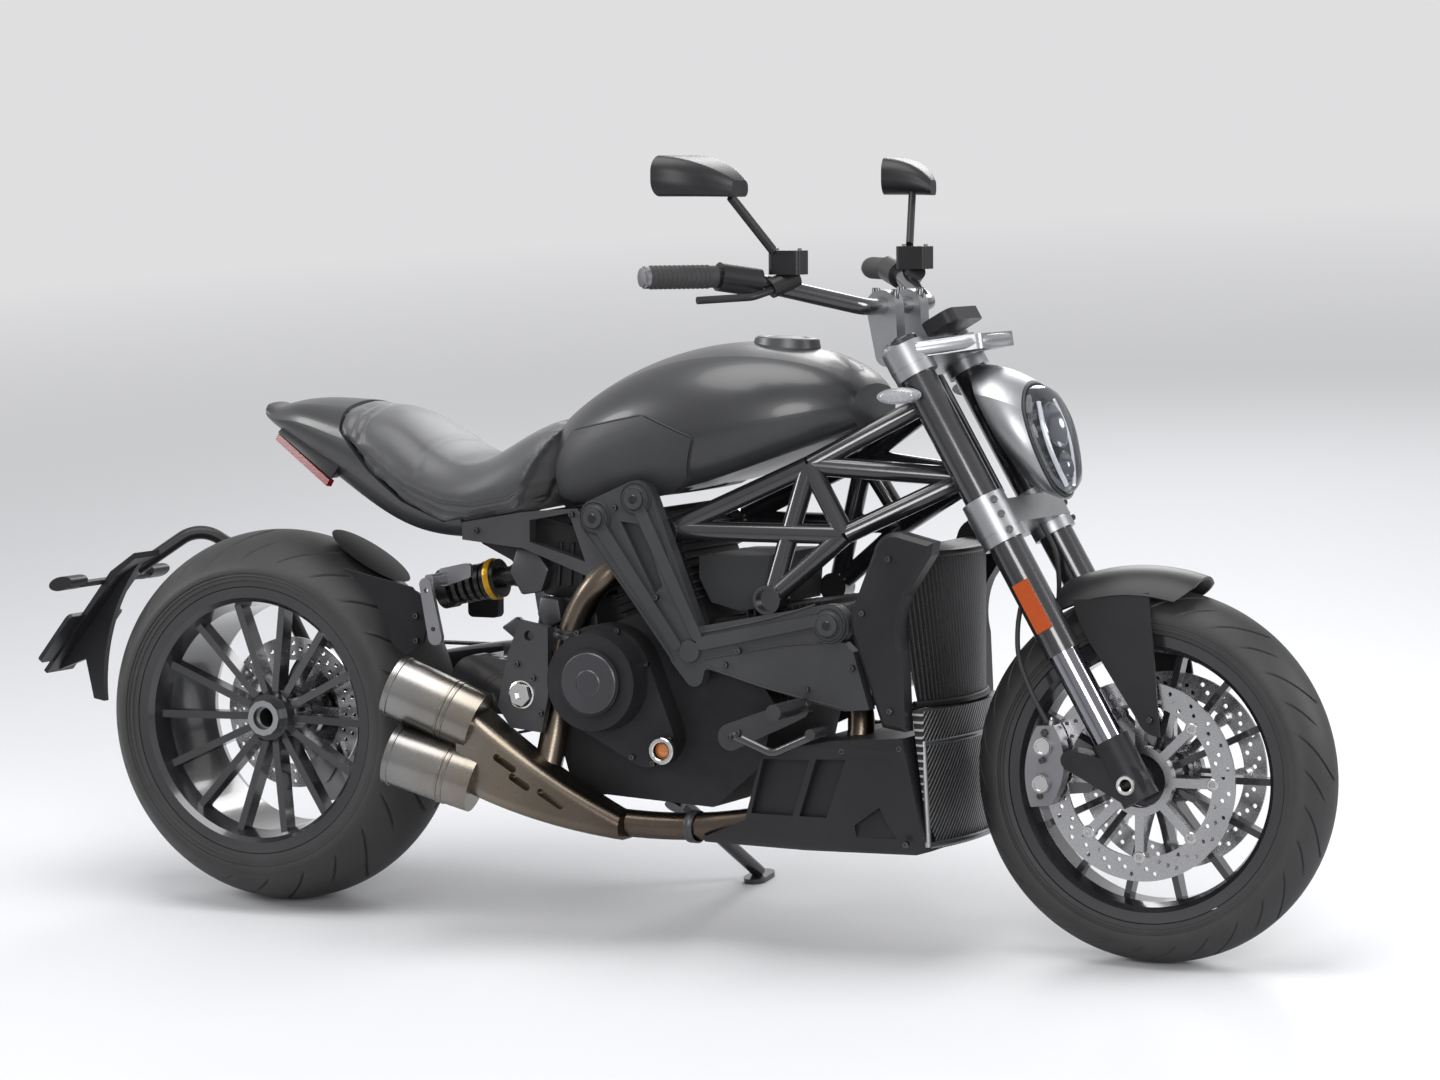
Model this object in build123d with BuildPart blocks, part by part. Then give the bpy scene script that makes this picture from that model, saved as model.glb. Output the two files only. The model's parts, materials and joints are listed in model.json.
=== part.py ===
from build123d import *
import math
import os

# A long, low cruiser motorcycle with a fat rear tyre, a tubular trellis frame, a V-twin engine
# with covered cam belts, a single-sided swingarm on the left and a forward-set rider's position.
# It is drawn upright: +X forward from the rear axle, +Y to the machine's left, +Z up from the
# ground, millimetres. PARK then leans it over its side stand about the tyres' contact line.

WHEELBASE = 1615
REAR_TYRE_R, FRONT_TYRE_R = 324, 300
RIM_R, BEAD_R = 231, 231.3
SPOKES = 14

RAKE = 30
TRAIL = 130
LEG_OFFSET = 37.4
LEG_Y = 107
TUBE_R, STANCHION_R = 29, 25

FRONT_DISC_R, FRONT_DISC_Y = 160, 75.6
REAR_DISC_R, REAR_DISC_Y = 132.5, 28
DISC_T = 5

FRAME_TUBE_R = 16
BAR_R = 14
PIVOT = (568, 402)
DRIVE_WHEEL = (660, 398)
LEAN = 7.5
ORIGIN_SHIFT = (-718.4, -163.9, 1)

# The side stand's pivot and foot, and the way that its leg points when it is folded back.
lean_tan = math.tan(math.radians(LEAN))
stand_pivot, stand_foot = (700, 128, 196), (772, 300, 300 * lean_tan - 1)
stand_folded = (-0.985, 0.15, 0.06)
stand_leg = Vector(*stand_foot) - Vector(*stand_pivot)
stand_axis = stand_leg.cross(Vector(*stand_folded)).normalized()

REAR_AXLE, FRONT_AXLE = (0, REAR_TYRE_R), (WHEELBASE, FRONT_TYRE_R)
ground_x = WHEELBASE + TRAIL
rake_sin, rake_cos = math.sin(math.radians(RAKE)), math.cos(math.radians(RAKE))

# Everything that steers is drawn along this plane: local x ahead, local z up the steering stem.
STEM = Plane(origin=(ground_x, 0, 0), x_dir=(rake_cos, 0, rake_sin), z_dir=(-rake_sin, 0, rake_cos))
AXLE_T = TRAIL * rake_sin + FRONT_TYRE_R * rake_cos
REAR_HUB = Plane(origin=(0, 0, REAR_TYRE_R), x_dir=(1, 0, 0), z_dir=(0, -1, 0))
FRONT_HUB = Plane(origin=(WHEELBASE, 0, FRONT_TYRE_R), x_dir=(1, 0, 0), z_dir=(0, -1, 0))
RADIAL = Plane(origin=(0, 0, 0), x_dir=(1, 0, 0), z_dir=(0, 1, 0))
REAR_SECTION = Plane(origin=(0, 0, REAR_TYRE_R), x_dir=(0, 1, 0), z_dir=(1, 0, 0))
FRONT_SECTION = Plane(origin=(WHEELBASE, 0, FRONT_TYRE_R), x_dir=(0, 1, 0), z_dir=(1, 0, 0))

# Rear rim: a turned section with an open hub, and flat spokes that slope in to it from the barrel.
with BuildPart() as rear_spoke:
    with BuildSketch(RADIAL):
        with BuildLine():
            Polyline((36, -52), (70, -60), (204, -86), (204, -58), (70, -28), (36, -20), close=True)
        make_face()
    extrude(amount=6.5, both=True)
with BuildPart() as rear_rim:
    with BuildSketch(REAR_SECTION):
        with BuildLine():
            Polyline(
                (-113, RIM_R), (-105, RIM_R), (-103, 214), (-70, 204), (82, 204), (103, 214),
                (105, RIM_R), (113, RIM_R), (113, 213), (104, 205), (80, 196), (-66, 196),
                (-104, 205), (-113, 213), close=True,
            )
        make_face()
        with BuildLine():
            Polyline((-62, 24), (-62, 40), (-50, 48), (-14, 48), (20, 40), (88, 40), (88, 24), close=True)
        make_face()
    revolve(axis=Axis((0, 0, REAR_TYRE_R), (0, 1, 0)))
    with Locations(REAR_HUB):
        with PolarLocations(0, SPOKES):
            add(rear_spoke.part)

with BuildPart() as rear_tyre:
    with BuildSketch(REAR_SECTION):
        with BuildLine():
            ThreePointArc((-110, 276), (0, REAR_TYRE_R), (110, 276))
            ThreePointArc((110, 276), (120, 262), (114, BEAD_R))
            Polyline((114, BEAD_R), (104, BEAD_R), (104, 240))
            ThreePointArc((104, 240), (0, 306), (-104, 240))
            Polyline((-104, 240), (-104, BEAD_R), (-114, BEAD_R))
            ThreePointArc((-114, BEAD_R), (-120, 262), (-110, 276))
        make_face()
    revolve(axis=Axis((0, 0, REAR_TYRE_R), (0, 1, 0)))

with BuildPart() as front_spoke:
    with BuildSketch(RADIAL):
        with BuildLine():
            Polyline((34, -26), (80, -17), (208, -12), (208, 12), (80, 17), (34, 26), close=True)
        make_face()
    extrude(amount=5.5, both=True)
with BuildPart() as front_rim:
    with BuildSketch(FRONT_SECTION):
        with BuildLine():
            Polyline(
                (-52, RIM_R), (-45, RIM_R), (-43, 216), (-26, 207), (26, 207), (43, 216),
                (45, RIM_R), (52, RIM_R), (52, 214), (44, 206), (24, 200), (-24, 200),
                (-44, 206), (-52, 214), close=True,
            )
        make_face()
        with BuildLine():
            Polyline(
                (-62, 17), (-62, 42), (-40, 42), (-34, 36), (34, 36), (40, 42), (62, 42), (62, 17),
                close=True,
            )
        make_face()
    revolve(axis=Axis((WHEELBASE, 0, FRONT_TYRE_R), (0, 1, 0)))
    with Locations(FRONT_HUB):
        with PolarLocations(0, SPOKES):
            add(front_spoke.part)

with BuildPart() as front_tyre:
    with BuildSketch(FRONT_SECTION):
        with BuildLine():
            ThreePointArc((-56, 268), (0, FRONT_TYRE_R), (56, 268))
            ThreePointArc((56, 268), (60, 252), (54, BEAD_R))
            Polyline((54, BEAD_R), (46, BEAD_R), (46, 240))
            ThreePointArc((46, 240), (0, 284), (-46, 240))
            Polyline((-46, 240), (-46, BEAD_R), (-54, BEAD_R))
            ThreePointArc((-54, BEAD_R), (-60, 252), (-56, 268))
        make_face()
    revolve(axis=Axis((WHEELBASE, 0, FRONT_TYRE_R), (0, 1, 0)))

# Brake discs: a drilled ring that floats on the lugs of a spider, which is bolted to the hub.
with BuildPart() as front_discs:
    for side in (-1, 1):
        with BuildSketch(Plane.XZ.offset(side * FRONT_DISC_Y - DISC_T / 2)):
            with Locations(FRONT_AXLE):
                Circle(FRONT_DISC_R)
                Circle(122, mode=Mode.SUBTRACT)
                for circle_r, start in ((131, 0), (140, 5), (149, 10)):
                    with PolarLocations(circle_r, 24, start_angle=start):
                        Circle(3.6, mode=Mode.SUBTRACT)
        extrude(amount=DISC_T)
        with BuildSketch(Plane.XZ.offset(side * (FRONT_DISC_Y - 7) - 8)):
            with Locations(FRONT_AXLE):
                Circle(56)
                Circle(43, mode=Mode.SUBTRACT)
                with PolarLocations(88, 8):
                    Rectangle(74, 15)
                with PolarLocations(122, 8):
                    Circle(11)
        extrude(amount=16)

with BuildPart() as rear_disc:
    with BuildSketch(Plane.XZ.offset(-REAR_DISC_Y - DISC_T / 2)):
        with Locations(REAR_AXLE):
            Circle(REAR_DISC_R)
            Circle(92, mode=Mode.SUBTRACT)
            for circle_r, start in ((104, 0), (113, 7.5), (122, 0)):
                with PolarLocations(circle_r, 24, start_angle=start):
                    Circle(3.6, mode=Mode.SUBTRACT)
    extrude(amount=DISC_T)
    with BuildSketch(Plane.XZ.offset(-REAR_DISC_Y - 7)):
        with Locations(REAR_AXLE):
            Circle(56)
            Circle(41, mode=Mode.SUBTRACT)
            with PolarLocations(72, 6):
                Rectangle(44, 22)
    extrude(amount=14)

# The belt's toothed wheel turns outside the swingarm's hub on the rear wheel's shaft.
with BuildPart() as rear_pulley:
    with BuildSketch(Plane.XZ.offset(-212)):
        with Locations(REAR_AXLE):
            Circle(112)
            Circle(98, mode=Mode.SUBTRACT)
            Circle(34)
            with PolarLocations(66, 5):
                Rectangle(70, 24)
    extrude(amount=26)
    with BuildSketch(Plane.XZ.offset(-228)):
        with Locations(REAR_AXLE):
            Circle(22)
    extrude(amount=290)
    with BuildSketch(Plane.XZ.offset(62)):
        with Locations(REAR_AXLE):
            RegularPolygon(31, 12)
            Circle(20, mode=Mode.SUBTRACT)
    extrude(amount=16, both=False)
    with BuildSketch(Plane.XZ.offset(78.5)):
        with Locations(REAR_AXLE):
            Circle(17)
    extrude(amount=-250, mode=Mode.SUBTRACT)

# Swingarm: a hollow carrier round the wheel shaft, a heavy left arm and a cross head at the pivot.
with BuildPart() as swingarm:
    for x, y, z, w, h in ((120, 152, 345, 38, 120), (300, 152, 392, 40, 104), (430, 140, 412, 62, 100)):
        with BuildSketch(Plane.YZ.offset(x)):
            with Locations((y, z)):
                RectangleRounded(w, h, 16)
    loft()
    with BuildSketch(Plane.XZ.offset(-178)):
        with Locations(REAR_AXLE):
            Circle(74)
        with Locations((110, 345)):
            Circle(58)
        make_hull()
    extrude(amount=46)
    with BuildSketch(Plane.XZ.offset(-184)):
        with Locations(REAR_AXLE):
            Circle(60)
    extrude(amount=88)
    with BuildSketch(Plane.XZ.offset(-184)):
        with Locations(REAR_AXLE):
            Circle(22.3)
    extrude(amount=88, mode=Mode.SUBTRACT)
    with BuildSketch(Plane.XZ.offset(-171)):
        with Locations(PIVOT):
            Circle(44)
        with Locations((420, 412)):
            Circle(52)
        make_hull()
    extrude(amount=60)
    with BuildSketch(Plane.XZ.offset(-120)):
        with Locations((470, 408)):
            RectangleRounded(70, 96, 20)
    extrude(amount=240)
    with BuildSketch(Plane.XZ.offset(96)):
        with Locations(PIVOT):
            Circle(44)
        with Locations((452, 410)):
            Circle(48)
        make_hull()
    extrude(amount=38)
    with BuildSketch(Plane.XZ.offset(-186)):
        with Locations(PIVOT):
            Circle(20)
    extrude(amount=372)

# Drive belt: two straight runs tangent to the front and rear toothed wheels.
with BuildPart() as drive_belt:
    with BuildSketch(Plane.XZ.offset(-211)):
        with Locations(REAR_AXLE):
            Circle(117)
        with Locations(DRIVE_WHEEL):
            Circle(45)
        make_hull()
    extrude(amount=24)
    with BuildSketch(Plane.XZ.offset(-211)):
        with Locations(REAR_AXLE):
            Circle(112.4)
        with Locations(DRIVE_WHEEL):
            Circle(40)
        make_hull()
    extrude(amount=24, mode=Mode.SUBTRACT)
    with BuildSketch(Plane.XZ.offset(-213)):
        with Locations(DRIVE_WHEEL):
            Circle(40)
    extrude(amount=26.5)

# Trellis frame: columns are the two ends of one tube on the right side, its mirror makes the left.
rear_node, top_node, low_node = (814, -130, 678), (1059, -110, 789), (999, -132, 571)
front_node, head_top, head_low = (1127, -122, 679), (1230, -26, 890), (1300, -26, 770)
trellis_tubes = (
    (rear_node, top_node), (rear_node, front_node), (top_node, low_node), (low_node, front_node),
    (top_node, front_node), (top_node, head_top), (front_node, head_low), (top_node, head_low),
)
with BuildPart() as trellis_frame:
    for low, high in trellis_tubes:
        with BuildLine():
            run = Line(low, high)
        with BuildSketch(Plane(origin=run @ 0, z_dir=run % 0)):
            Circle(FRAME_TUBE_R)
        extrude(amount=run.length)
    for x, y, z, r in ((*rear_node, 22), (*low_node, 24)):
        with BuildSketch(Plane.XZ.offset(-y - 22)):
            with Locations((x, z)):
                Circle(r)
        extrude(amount=40)
        with BuildSketch(Plane.XZ.offset(-y + 8)):
            with Locations((x, z)):
                Circle(r - 5)
        extrude(amount=20, mode=Mode.SUBTRACT)
    mirror(about=Plane.XZ)
    with BuildSketch(STEM.offset(845)):
        Circle(33)
    extrude(amount=215)
    with BuildSketch(STEM.offset(845)):
        Circle(22)
    extrude(amount=215, mode=Mode.SUBTRACT)

# Engine: one closed crankcase with the two cylinders set at ninety degrees in a vee.
with BuildPart() as engine_block:
    with BuildSketch(Plane.XZ.offset(-140)):
        with BuildLine():
            Polyline(
                (622, 300), (640, 240), (900, 226), (985, 300), (1010, 400), (960, 470),
                (880, 520), (760, 540), (660, 500), (622, 452), close=True,
            )
        make_face()
    extrude(amount=280)
    fillet(edges().filter_by(Axis.Y), 14)
    for x, z, angle, long in ((772, 590, 112, 220), (1010, 480, 8, 250)):
        with BuildSketch(Plane.XZ.offset(-102)):
            with Locations(Location((x, z), angle)):
                RectangleRounded(long, 140, 18)
        extrude(amount=204)
    with BuildSketch(Plane(origin=Vector(*stand_pivot) + 18.6 * stand_axis, z_dir=stand_axis)):
        Circle(30)
    extrude(amount=40)

with BuildPart() as clutch_cover:
    with BuildSketch(Plane.XZ.offset(140)):
        with Locations((717, 432)):
            Circle(92)
        with Locations((800, 340)):
            Circle(48)
        make_hull()
    extrude(amount=46)
    with BuildSketch(Plane.XZ.offset(186)):
        with Locations((717, 432)):
            Circle(84)
    extrude(amount=42, taper=6)
    with BuildSketch(Plane.XZ.offset(228)):
        with Locations((717, 432)):
            Circle(55)
    extrude(amount=6)
    with BuildSketch(Plane.XZ.offset(186)):
        with Locations((831, 322)):
            Circle(22)
            Circle(14, mode=Mode.SUBTRACT)
    extrude(amount=12)

with BuildPart() as alternator_cover:
    with BuildSketch(Plane.XZ.offset(-186)):
        with Locations((800, 390)):
            Circle(96)
        with Locations((716, 366)):
            Circle(60)
        make_hull()
    extrude(amount=46)

# Airbox between the frame's tubes.
with BuildPart() as airbox:
    with BuildSketch(Plane.XZ.offset(-108)):
        with BuildLine():
            Polyline((858, 636), (985, 640), (978, 556), (930, 548), (880, 560), (858, 600), close=True)
        make_face()
    extrude(amount=216)
    add(trellis_frame.part, mode=Mode.SUBTRACT)

# Radiator and lower grille: each is bowed in plan, and its profile from the side cuts it to height.
def bowed_core(back, side_x, nose_x, half_width, profile):
    """A block between a flat back and a bowed front, cut to the profile seen from the side."""
    with BuildPart() as core:
        with BuildSketch(Plane.XY.offset(150)):
            with BuildLine():
                Line((side_x, half_width), (back, half_width))
                Line((back, half_width), (back, -half_width))
                Line((back, -half_width), (side_x, -half_width))
                ThreePointArc((side_x, -half_width), (nose_x, 0), (side_x, half_width))
            make_face()
        extrude(amount=560)
        with BuildSketch(Plane.XZ.offset(-half_width - 10)):
            with BuildLine():
                Polyline(*profile, close=True)
            make_face()
        extrude(amount=2 * half_width + 20, mode=Mode.INTERSECT)
    return core.part


core_profile = ((1228, 660), (1316, 656), (1306, 406), (1262, 406))
grille_profile = ((1262, 404), (1308, 404), (1304, 340), (1312, 180), (1292, 180))
CORE_HALF, GRILLE_HALF = 153, 165
with BuildPart() as radiator:
    add(bowed_core(1226, 1252, 1300, CORE_HALF, core_profile))
with BuildPart() as mesh_grille:
    add(bowed_core(1262, 1282, 1306, GRILLE_HALF, grille_profile))
    for side in (-1, 1):
        with BuildSketch(Plane.XZ.offset(side * GRILLE_HALF - 1)):
            with BuildLine():
                Polyline((1280, 366), (1294, 366), (1300, 216), (1294, 216), close=True)
            make_face()
        extrude(amount=2, mode=Mode.SUBTRACT)

with BuildPart() as radiator_shrouds:
    for side in (-1, 1):
        with BuildSketch(Plane.XZ.offset(side * 173 - 19)):
            with BuildLine():
                Polyline((1260, 372), (1220, 378), (1170, 520))
                ThreePointArc((1170, 520), (1165, 545), (1174, 580))
                Line((1174, 580), (1206, 660))
                ThreePointArc((1206, 660), (1222, 684), (1250, 690))
                Polyline((1250, 690), (1308, 676), (1304, 655), (1262, 590))
                ThreePointArc((1262, 590), (1250, 545), (1254, 500))
                Line((1254, 500), (1260, 372))
            make_face()
        extrude(amount=38)
    chamfer(faces().filter_by(Axis.Y).sort_by(Axis.Y)[0].edges(), 7)
    chamfer(faces().filter_by(Axis.Y).sort_by(Axis.Y)[-1].edges(), 7)

# Belly fairing: its sides have two raked openings and a low triangular vent.
belly_pockets = (
    ((1010, 317), (1092, 319), (1058, 226), (984, 226)),
    ((1104, 321), (1156, 323), (1118, 226), (1070, 226)),
    ((1166, 216), (1212, 248), (1236, 198), (1166, 194)),
)
with BuildPart() as belly_pan:
    with BuildSketch(Plane.XZ.offset(-190)):
        with BuildLine():
            Polyline(
                (1132, 352), (1256, 362), (1262, 330), (1290, 178), (1258, 168), (1060, 163),
                (880, 168), (884, 178), (972, 214), (1004, 314), (1020, 330), close=True,
            )
        make_face()
    extrude(amount=380)
    for side in (-1, 1):
        with BuildSketch(Plane.YZ.offset(860)):
            with BuildLine():
                Polyline((side * 200, 400), (side * 188, 330), (side * 180, 240))
                ThreePointArc((side * 180, 240), (side * 166, 196), (side * 120, 160))
                Polyline((side * 120, 160), (side * 200, 160), (side * 200, 400))
            make_face()
        extrude(amount=480, mode=Mode.SUBTRACT)
        for pocket in belly_pockets:
            with BuildSketch(Plane.XZ.offset(side * 183 - 18)):
                with BuildLine():
                    Polyline(*pocket, close=True)
                make_face()
            extrude(amount=36, mode=Mode.SUBTRACT)
    add(engine_block.part, mode=Mode.SUBTRACT)

# Exhaust: a collector below the swingarm pivot feeds two stacked short silencers.
# Columns of the collector are x, y, z, width and height; of the slots x, z and length.
collector_sections = ((470, -190, 318, 92, 150), (600, -188, 250, 84, 100), (752, -166, 190, 70, 42))
collector_slots = ((560, 292, 46), (586, 262, 42), (640, 236, 52))
with BuildPart() as exhaust_system:
    for x, y, z, w, h in collector_sections:
        with BuildSketch(Plane.YZ.offset(x)):
            with Locations((y, z)):
                RectangleRounded(w, h, 20)
    loft()
    for z, tip_z, out in ((352, 412, 0), (254, 298, -6)):
        with BuildLine():
            run = Line((492, -197 + out, z), (348, -224 + out, tip_z))
        with BuildSketch(Plane(origin=run @ 0, z_dir=run % 0)):
            Circle(52)
        extrude(amount=run.length)
        with BuildSketch(Plane(origin=run @ 1, z_dir=run % 0)):
            Circle(46)
        extrude(amount=-110, mode=Mode.SUBTRACT)
        with BuildSketch(Plane(origin=run @ 0.35, z_dir=run % 0)):
            Circle(46)
            Circle(17, mode=Mode.SUBTRACT)
        extrude(amount=3)
    for x, z, long in collector_slots:
        with BuildSketch(Plane.XZ.offset(215)):
            with Locations(Location((x, z), -32)):
                SlotOverall(long, 12)
        extrude(amount=40, mode=Mode.SUBTRACT)

# Fuel tank: columns are x, top z, bottom z, half width and z of the widest line.
tank_sections = (
    (600, 868, 705, 118, 770), (700, 930, 722, 165, 815), (800, 968, 738, 184, 845),
    (900, 984, 765, 188, 855), (1000, 978, 800, 168, 865), (1080, 952, 830, 128, 880),
    (1125, 918, 850, 86, 880),
)


def body_section(x, top, bottom, half, waist, grow=0):
    """One cross section of the tank or the saddle, with a crease between its side and its top."""
    low = bottom - 0.6 * grow
    belly = bottom + 0.42 * (waist - bottom)
    widest = (half + grow, waist)
    crease = (0.64 * half, top - 0.16 * (top - waist) + grow)
    with BuildSketch(Plane.YZ.offset(x)) as section:
        with BuildLine():
            Line((0, low), (0.7 * half, low))
            ThreePointArc((0.7 * half, low), (0.93 * half + grow, belly), widest)
            ThreePointArc(widest, (0.9 * half + grow, (waist + top) / 2), crease)
            ThreePointArc(crease, (0.34 * half, top - 0.04 * (top - waist) + grow), (0, top + grow))
            mirror(about=Plane.YZ)
        make_face()
    return section.sketch


with BuildPart() as fuel_tank:
    for row in tank_sections:
        add(body_section(*row))
    loft()
panel_outline = (
    (604, 786), (640, 838), (792, 868), (886, 832), (860, 764), (812, 734), (660, 712), (604, 730),
)
with BuildPart() as tank_side_panels:
    for row in tank_sections:
        add(body_section(*row, grow=5))
    loft()
    with BuildSketch(Plane.XZ.offset(-220)):
        with BuildLine():
            Polyline(*panel_outline, close=True)
        make_face()
    extrude(amount=440, mode=Mode.INTERSECT)
    with BuildSketch(Plane.XZ.offset(-70)):
        Rectangle(4000, 4000)
    extrude(amount=140, mode=Mode.SUBTRACT)
    add(fuel_tank.part, mode=Mode.SUBTRACT)
with BuildPart() as fuel_cap:
    with BuildSketch(Plane(origin=(968, 0, 976), z_dir=(0.04, 0, 1))):
        Circle(56)
    extrude(amount=14, taper=12)
    add(fuel_tank.part, mode=Mode.SUBTRACT)

# Cam belt covers: a plate under the bosses, raised ribs along its arms and a dome on each toothed
# wheel. Columns of the domes are x, z, boss radius and cap radius.
domes = ((704, 699, 29, 21), (779, 732, 29, 21), (1125, 538, 31, 22))
cover_ribs = (((704, 699), (852, 496)), ((779, 732), (890, 512)), ((900, 500), (1120, 548)))
hub_x, hub_z = 872, 486
cover_arms = (
    ((704, 699, 30), (779, 732, 30), (hub_x, hub_z, 34)),
    ((hub_x, hub_z, 36), (1125, 538, 33)),
    ((hub_x, hub_z, 36), (882, 444, 16)),
)
with BuildPart() as belt_covers:
    for arm in cover_arms:
        with BuildSketch(Plane.XZ.offset(155)):
            for x, z, r in arm:
                with Locations((x, z)):
                    Circle(r)
            make_hull()
        extrude(amount=24)
    with BuildSketch(Plane.XZ.offset(155)):
        with BuildLine():
            Polyline(
                (hub_x, 520), (1150, 510), (1166, 496), (1194, 404), (1150, 400), (1075, 415), (890, 462),
                close=True,
            )
        make_face()
    extrude(amount=24)
    with BuildSketch(Plane.XZ.offset(179)):
        for x, z, boss_r, cap_r in domes:
            with Locations((x, z)):
                Circle(boss_r)
        with Locations((hub_x + 4, hub_z)):
            Circle(20)
    extrude(amount=6, taper=20)
    with BuildSketch(Plane.XZ.offset(185)):
        for x, z, boss_r, cap_r in domes:
            with Locations((x, z)):
                Circle(cap_r)
    extrude(amount=8, taper=30)
    for wide_end, thin_end in cover_ribs:
        with BuildSketch(Plane.XZ.offset(179)):
            with Locations(wide_end):
                Circle(11)
            with Locations(thin_end):
                Circle(9)
            make_hull()
        extrude(amount=7)
    with BuildSketch(Plane.XZ.offset(165)):
        with BuildLine():
            Polyline((750, 694), (790, 690), (826, 590), (812, 578), close=True)
        make_face()
    extrude(amount=20, mode=Mode.SUBTRACT)
    add(fuel_tank.part, mode=Mode.SUBTRACT)
    add(tank_side_panels.part, mode=Mode.SUBTRACT)

# Saddle: columns as for the tank. Each cover is cut from the same form by its outline from the side.
saddle_sections = (
    (-8, 870, 842, 44, 856), (60, 876, 806, 82, 842), (135, 878, 762, 108, 830),
    (234, 868, 705, 132, 800), (320, 826, 668, 146, 760), (404, 784, 655, 152, 730),
    (480, 800, 655, 156, 740), (560, 846, 655, 154, 760), (630, 885, 655, 146, 780),
)
with BuildPart() as saddle_form:
    for row in saddle_sections:
        add(body_section(*row))
    loft()
with BuildPart() as rider_seat:
    add(saddle_form.part)
    with BuildSketch(Plane.XZ.offset(-200)):
        with BuildLine():
            Polyline(
                (170, 920), (182, 829), (246, 762), (314, 712), (394, 680), (542, 706),
                (566, 780), (618, 884), (640, 940), close=True,
            )
        make_face()
    extrude(amount=400, mode=Mode.INTERSECT)
    add(fuel_tank.part, mode=Mode.SUBTRACT)
with BuildPart() as tail_unit:
    add(saddle_form.part)
    with BuildSketch(Plane.XZ.offset(-200)):
        with BuildLine():
            Polyline(
                (170, 920), (182, 829), (246, 762), (314, 712), (394, 680), (430, 686.3),
                (430, 600), (700, 600), (700, 940), (640, 940), close=True,
            )
        make_face()
    extrude(amount=400, mode=Mode.SUBTRACT)
with BuildPart() as tail_lights:
    for side in (-1, 1):
        with BuildLine():
            run = Line((30, side * 62, 812), (158, side * 108, 738))
        with BuildSketch(Plane(origin=run @ 0, z_dir=run % 0)):
            Rectangle(12, 12)
        extrude(amount=run.length)

# Cast subframe plates that carry the seat, and the plates at the swingarm pivot.
with BuildPart() as frame_plates:
    with BuildSketch(Plane.XZ.offset(118)):
        with BuildLine():
            Polyline(
                (432, 652), (547, 641), (696, 588), (712, 606), (650, 710), (546, 701), (432, 681),
                close=True,
            )
        make_face()
        with BuildLine():
            Polyline((560, 652), (664, 622), (634, 702), (560, 688), close=True)
        make_face(mode=Mode.SUBTRACT)
    extrude(amount=22)
    with BuildSketch(Plane.XZ.offset(172)):
        with BuildLine():
            Polyline(
                (522, 380), (546, 346), (604, 340), (617, 400), (617, 516), (565, 525), (542, 470),
                close=True,
            )
        make_face()
        with Locations((582, 500)):
            Circle(9, mode=Mode.SUBTRACT)
        with Locations(PIVOT):
            Circle(20.2, mode=Mode.SUBTRACT)
    extrude(amount=14)
    mirror(about=Plane.XZ)

# Shock absorber: a damper body inside an open coil, with its adjuster at the front end.
shock_rear, shock_front = (352, -62, 560), (500, -62, 590)
with BuildPart() as shock_absorber:
    with BuildLine():
        run = Line(shock_rear, shock_front)
    for start, long, r in ((0, run.length, 17), (0, 22, 34), (88, 26, 33)):
        with BuildSketch(Plane(origin=run @ 0, z_dir=run % 0).offset(start)):
            Circle(r)
        extrude(amount=long)
    for turn in range(4):
        with BuildSketch(Plane(origin=run @ 0, z_dir=run % 0).offset(30 + 15 * turn)):
            Circle(31)
            Circle(15, mode=Mode.SUBTRACT)
        extrude(amount=8)
    with BuildSketch(Plane.XZ.offset(52)):
        with Locations((500, 590)):
            Circle(20)
        with Locations((606, 580)):
            Circle(20)
        make_hull()
    extrude(amount=20)

# Rear hugger: an arched guard that comes to a point over the tyre, with a splash panel on its right.
with BuildPart() as rear_hugger:
    with BuildSketch(REAR_SECTION):
        with BuildLine():
            ThreePointArc((-132, 282), (0, 342), (132, 282))
            Line((132, 282), (127, 280))
            ThreePointArc((127, 280), (0, 336), (-127, 280))
            Line((-127, 280), (-132, 282))
        make_face()
    revolve(axis=Axis((0, 0, REAR_TYRE_R), (0, 1, 0)))
    with BuildSketch(Plane.XZ.offset(-150)):
        with BuildLine():
            Polyline((96, 700), (400, 700), (400, 492), (306, 478), (250, 560), (104, 650), close=True)
        make_face()
    extrude(amount=300, mode=Mode.INTERSECT)
    with BuildSketch(Plane.XZ.offset(129)):
        with BuildLine():
            Polyline((196, 596), (330, 568), (366, 530), (352, 474), (320, 452), (292, 470))
            ThreePointArc((292, 470), (262, 536), (196, 596))
        make_face()
    extrude(amount=6)
    with BuildSketch(Plane.XZ.offset(-136)):
        with Locations((330, 520)):
            RectangleRounded(60, 50, 10)
    extrude(amount=20)

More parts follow.
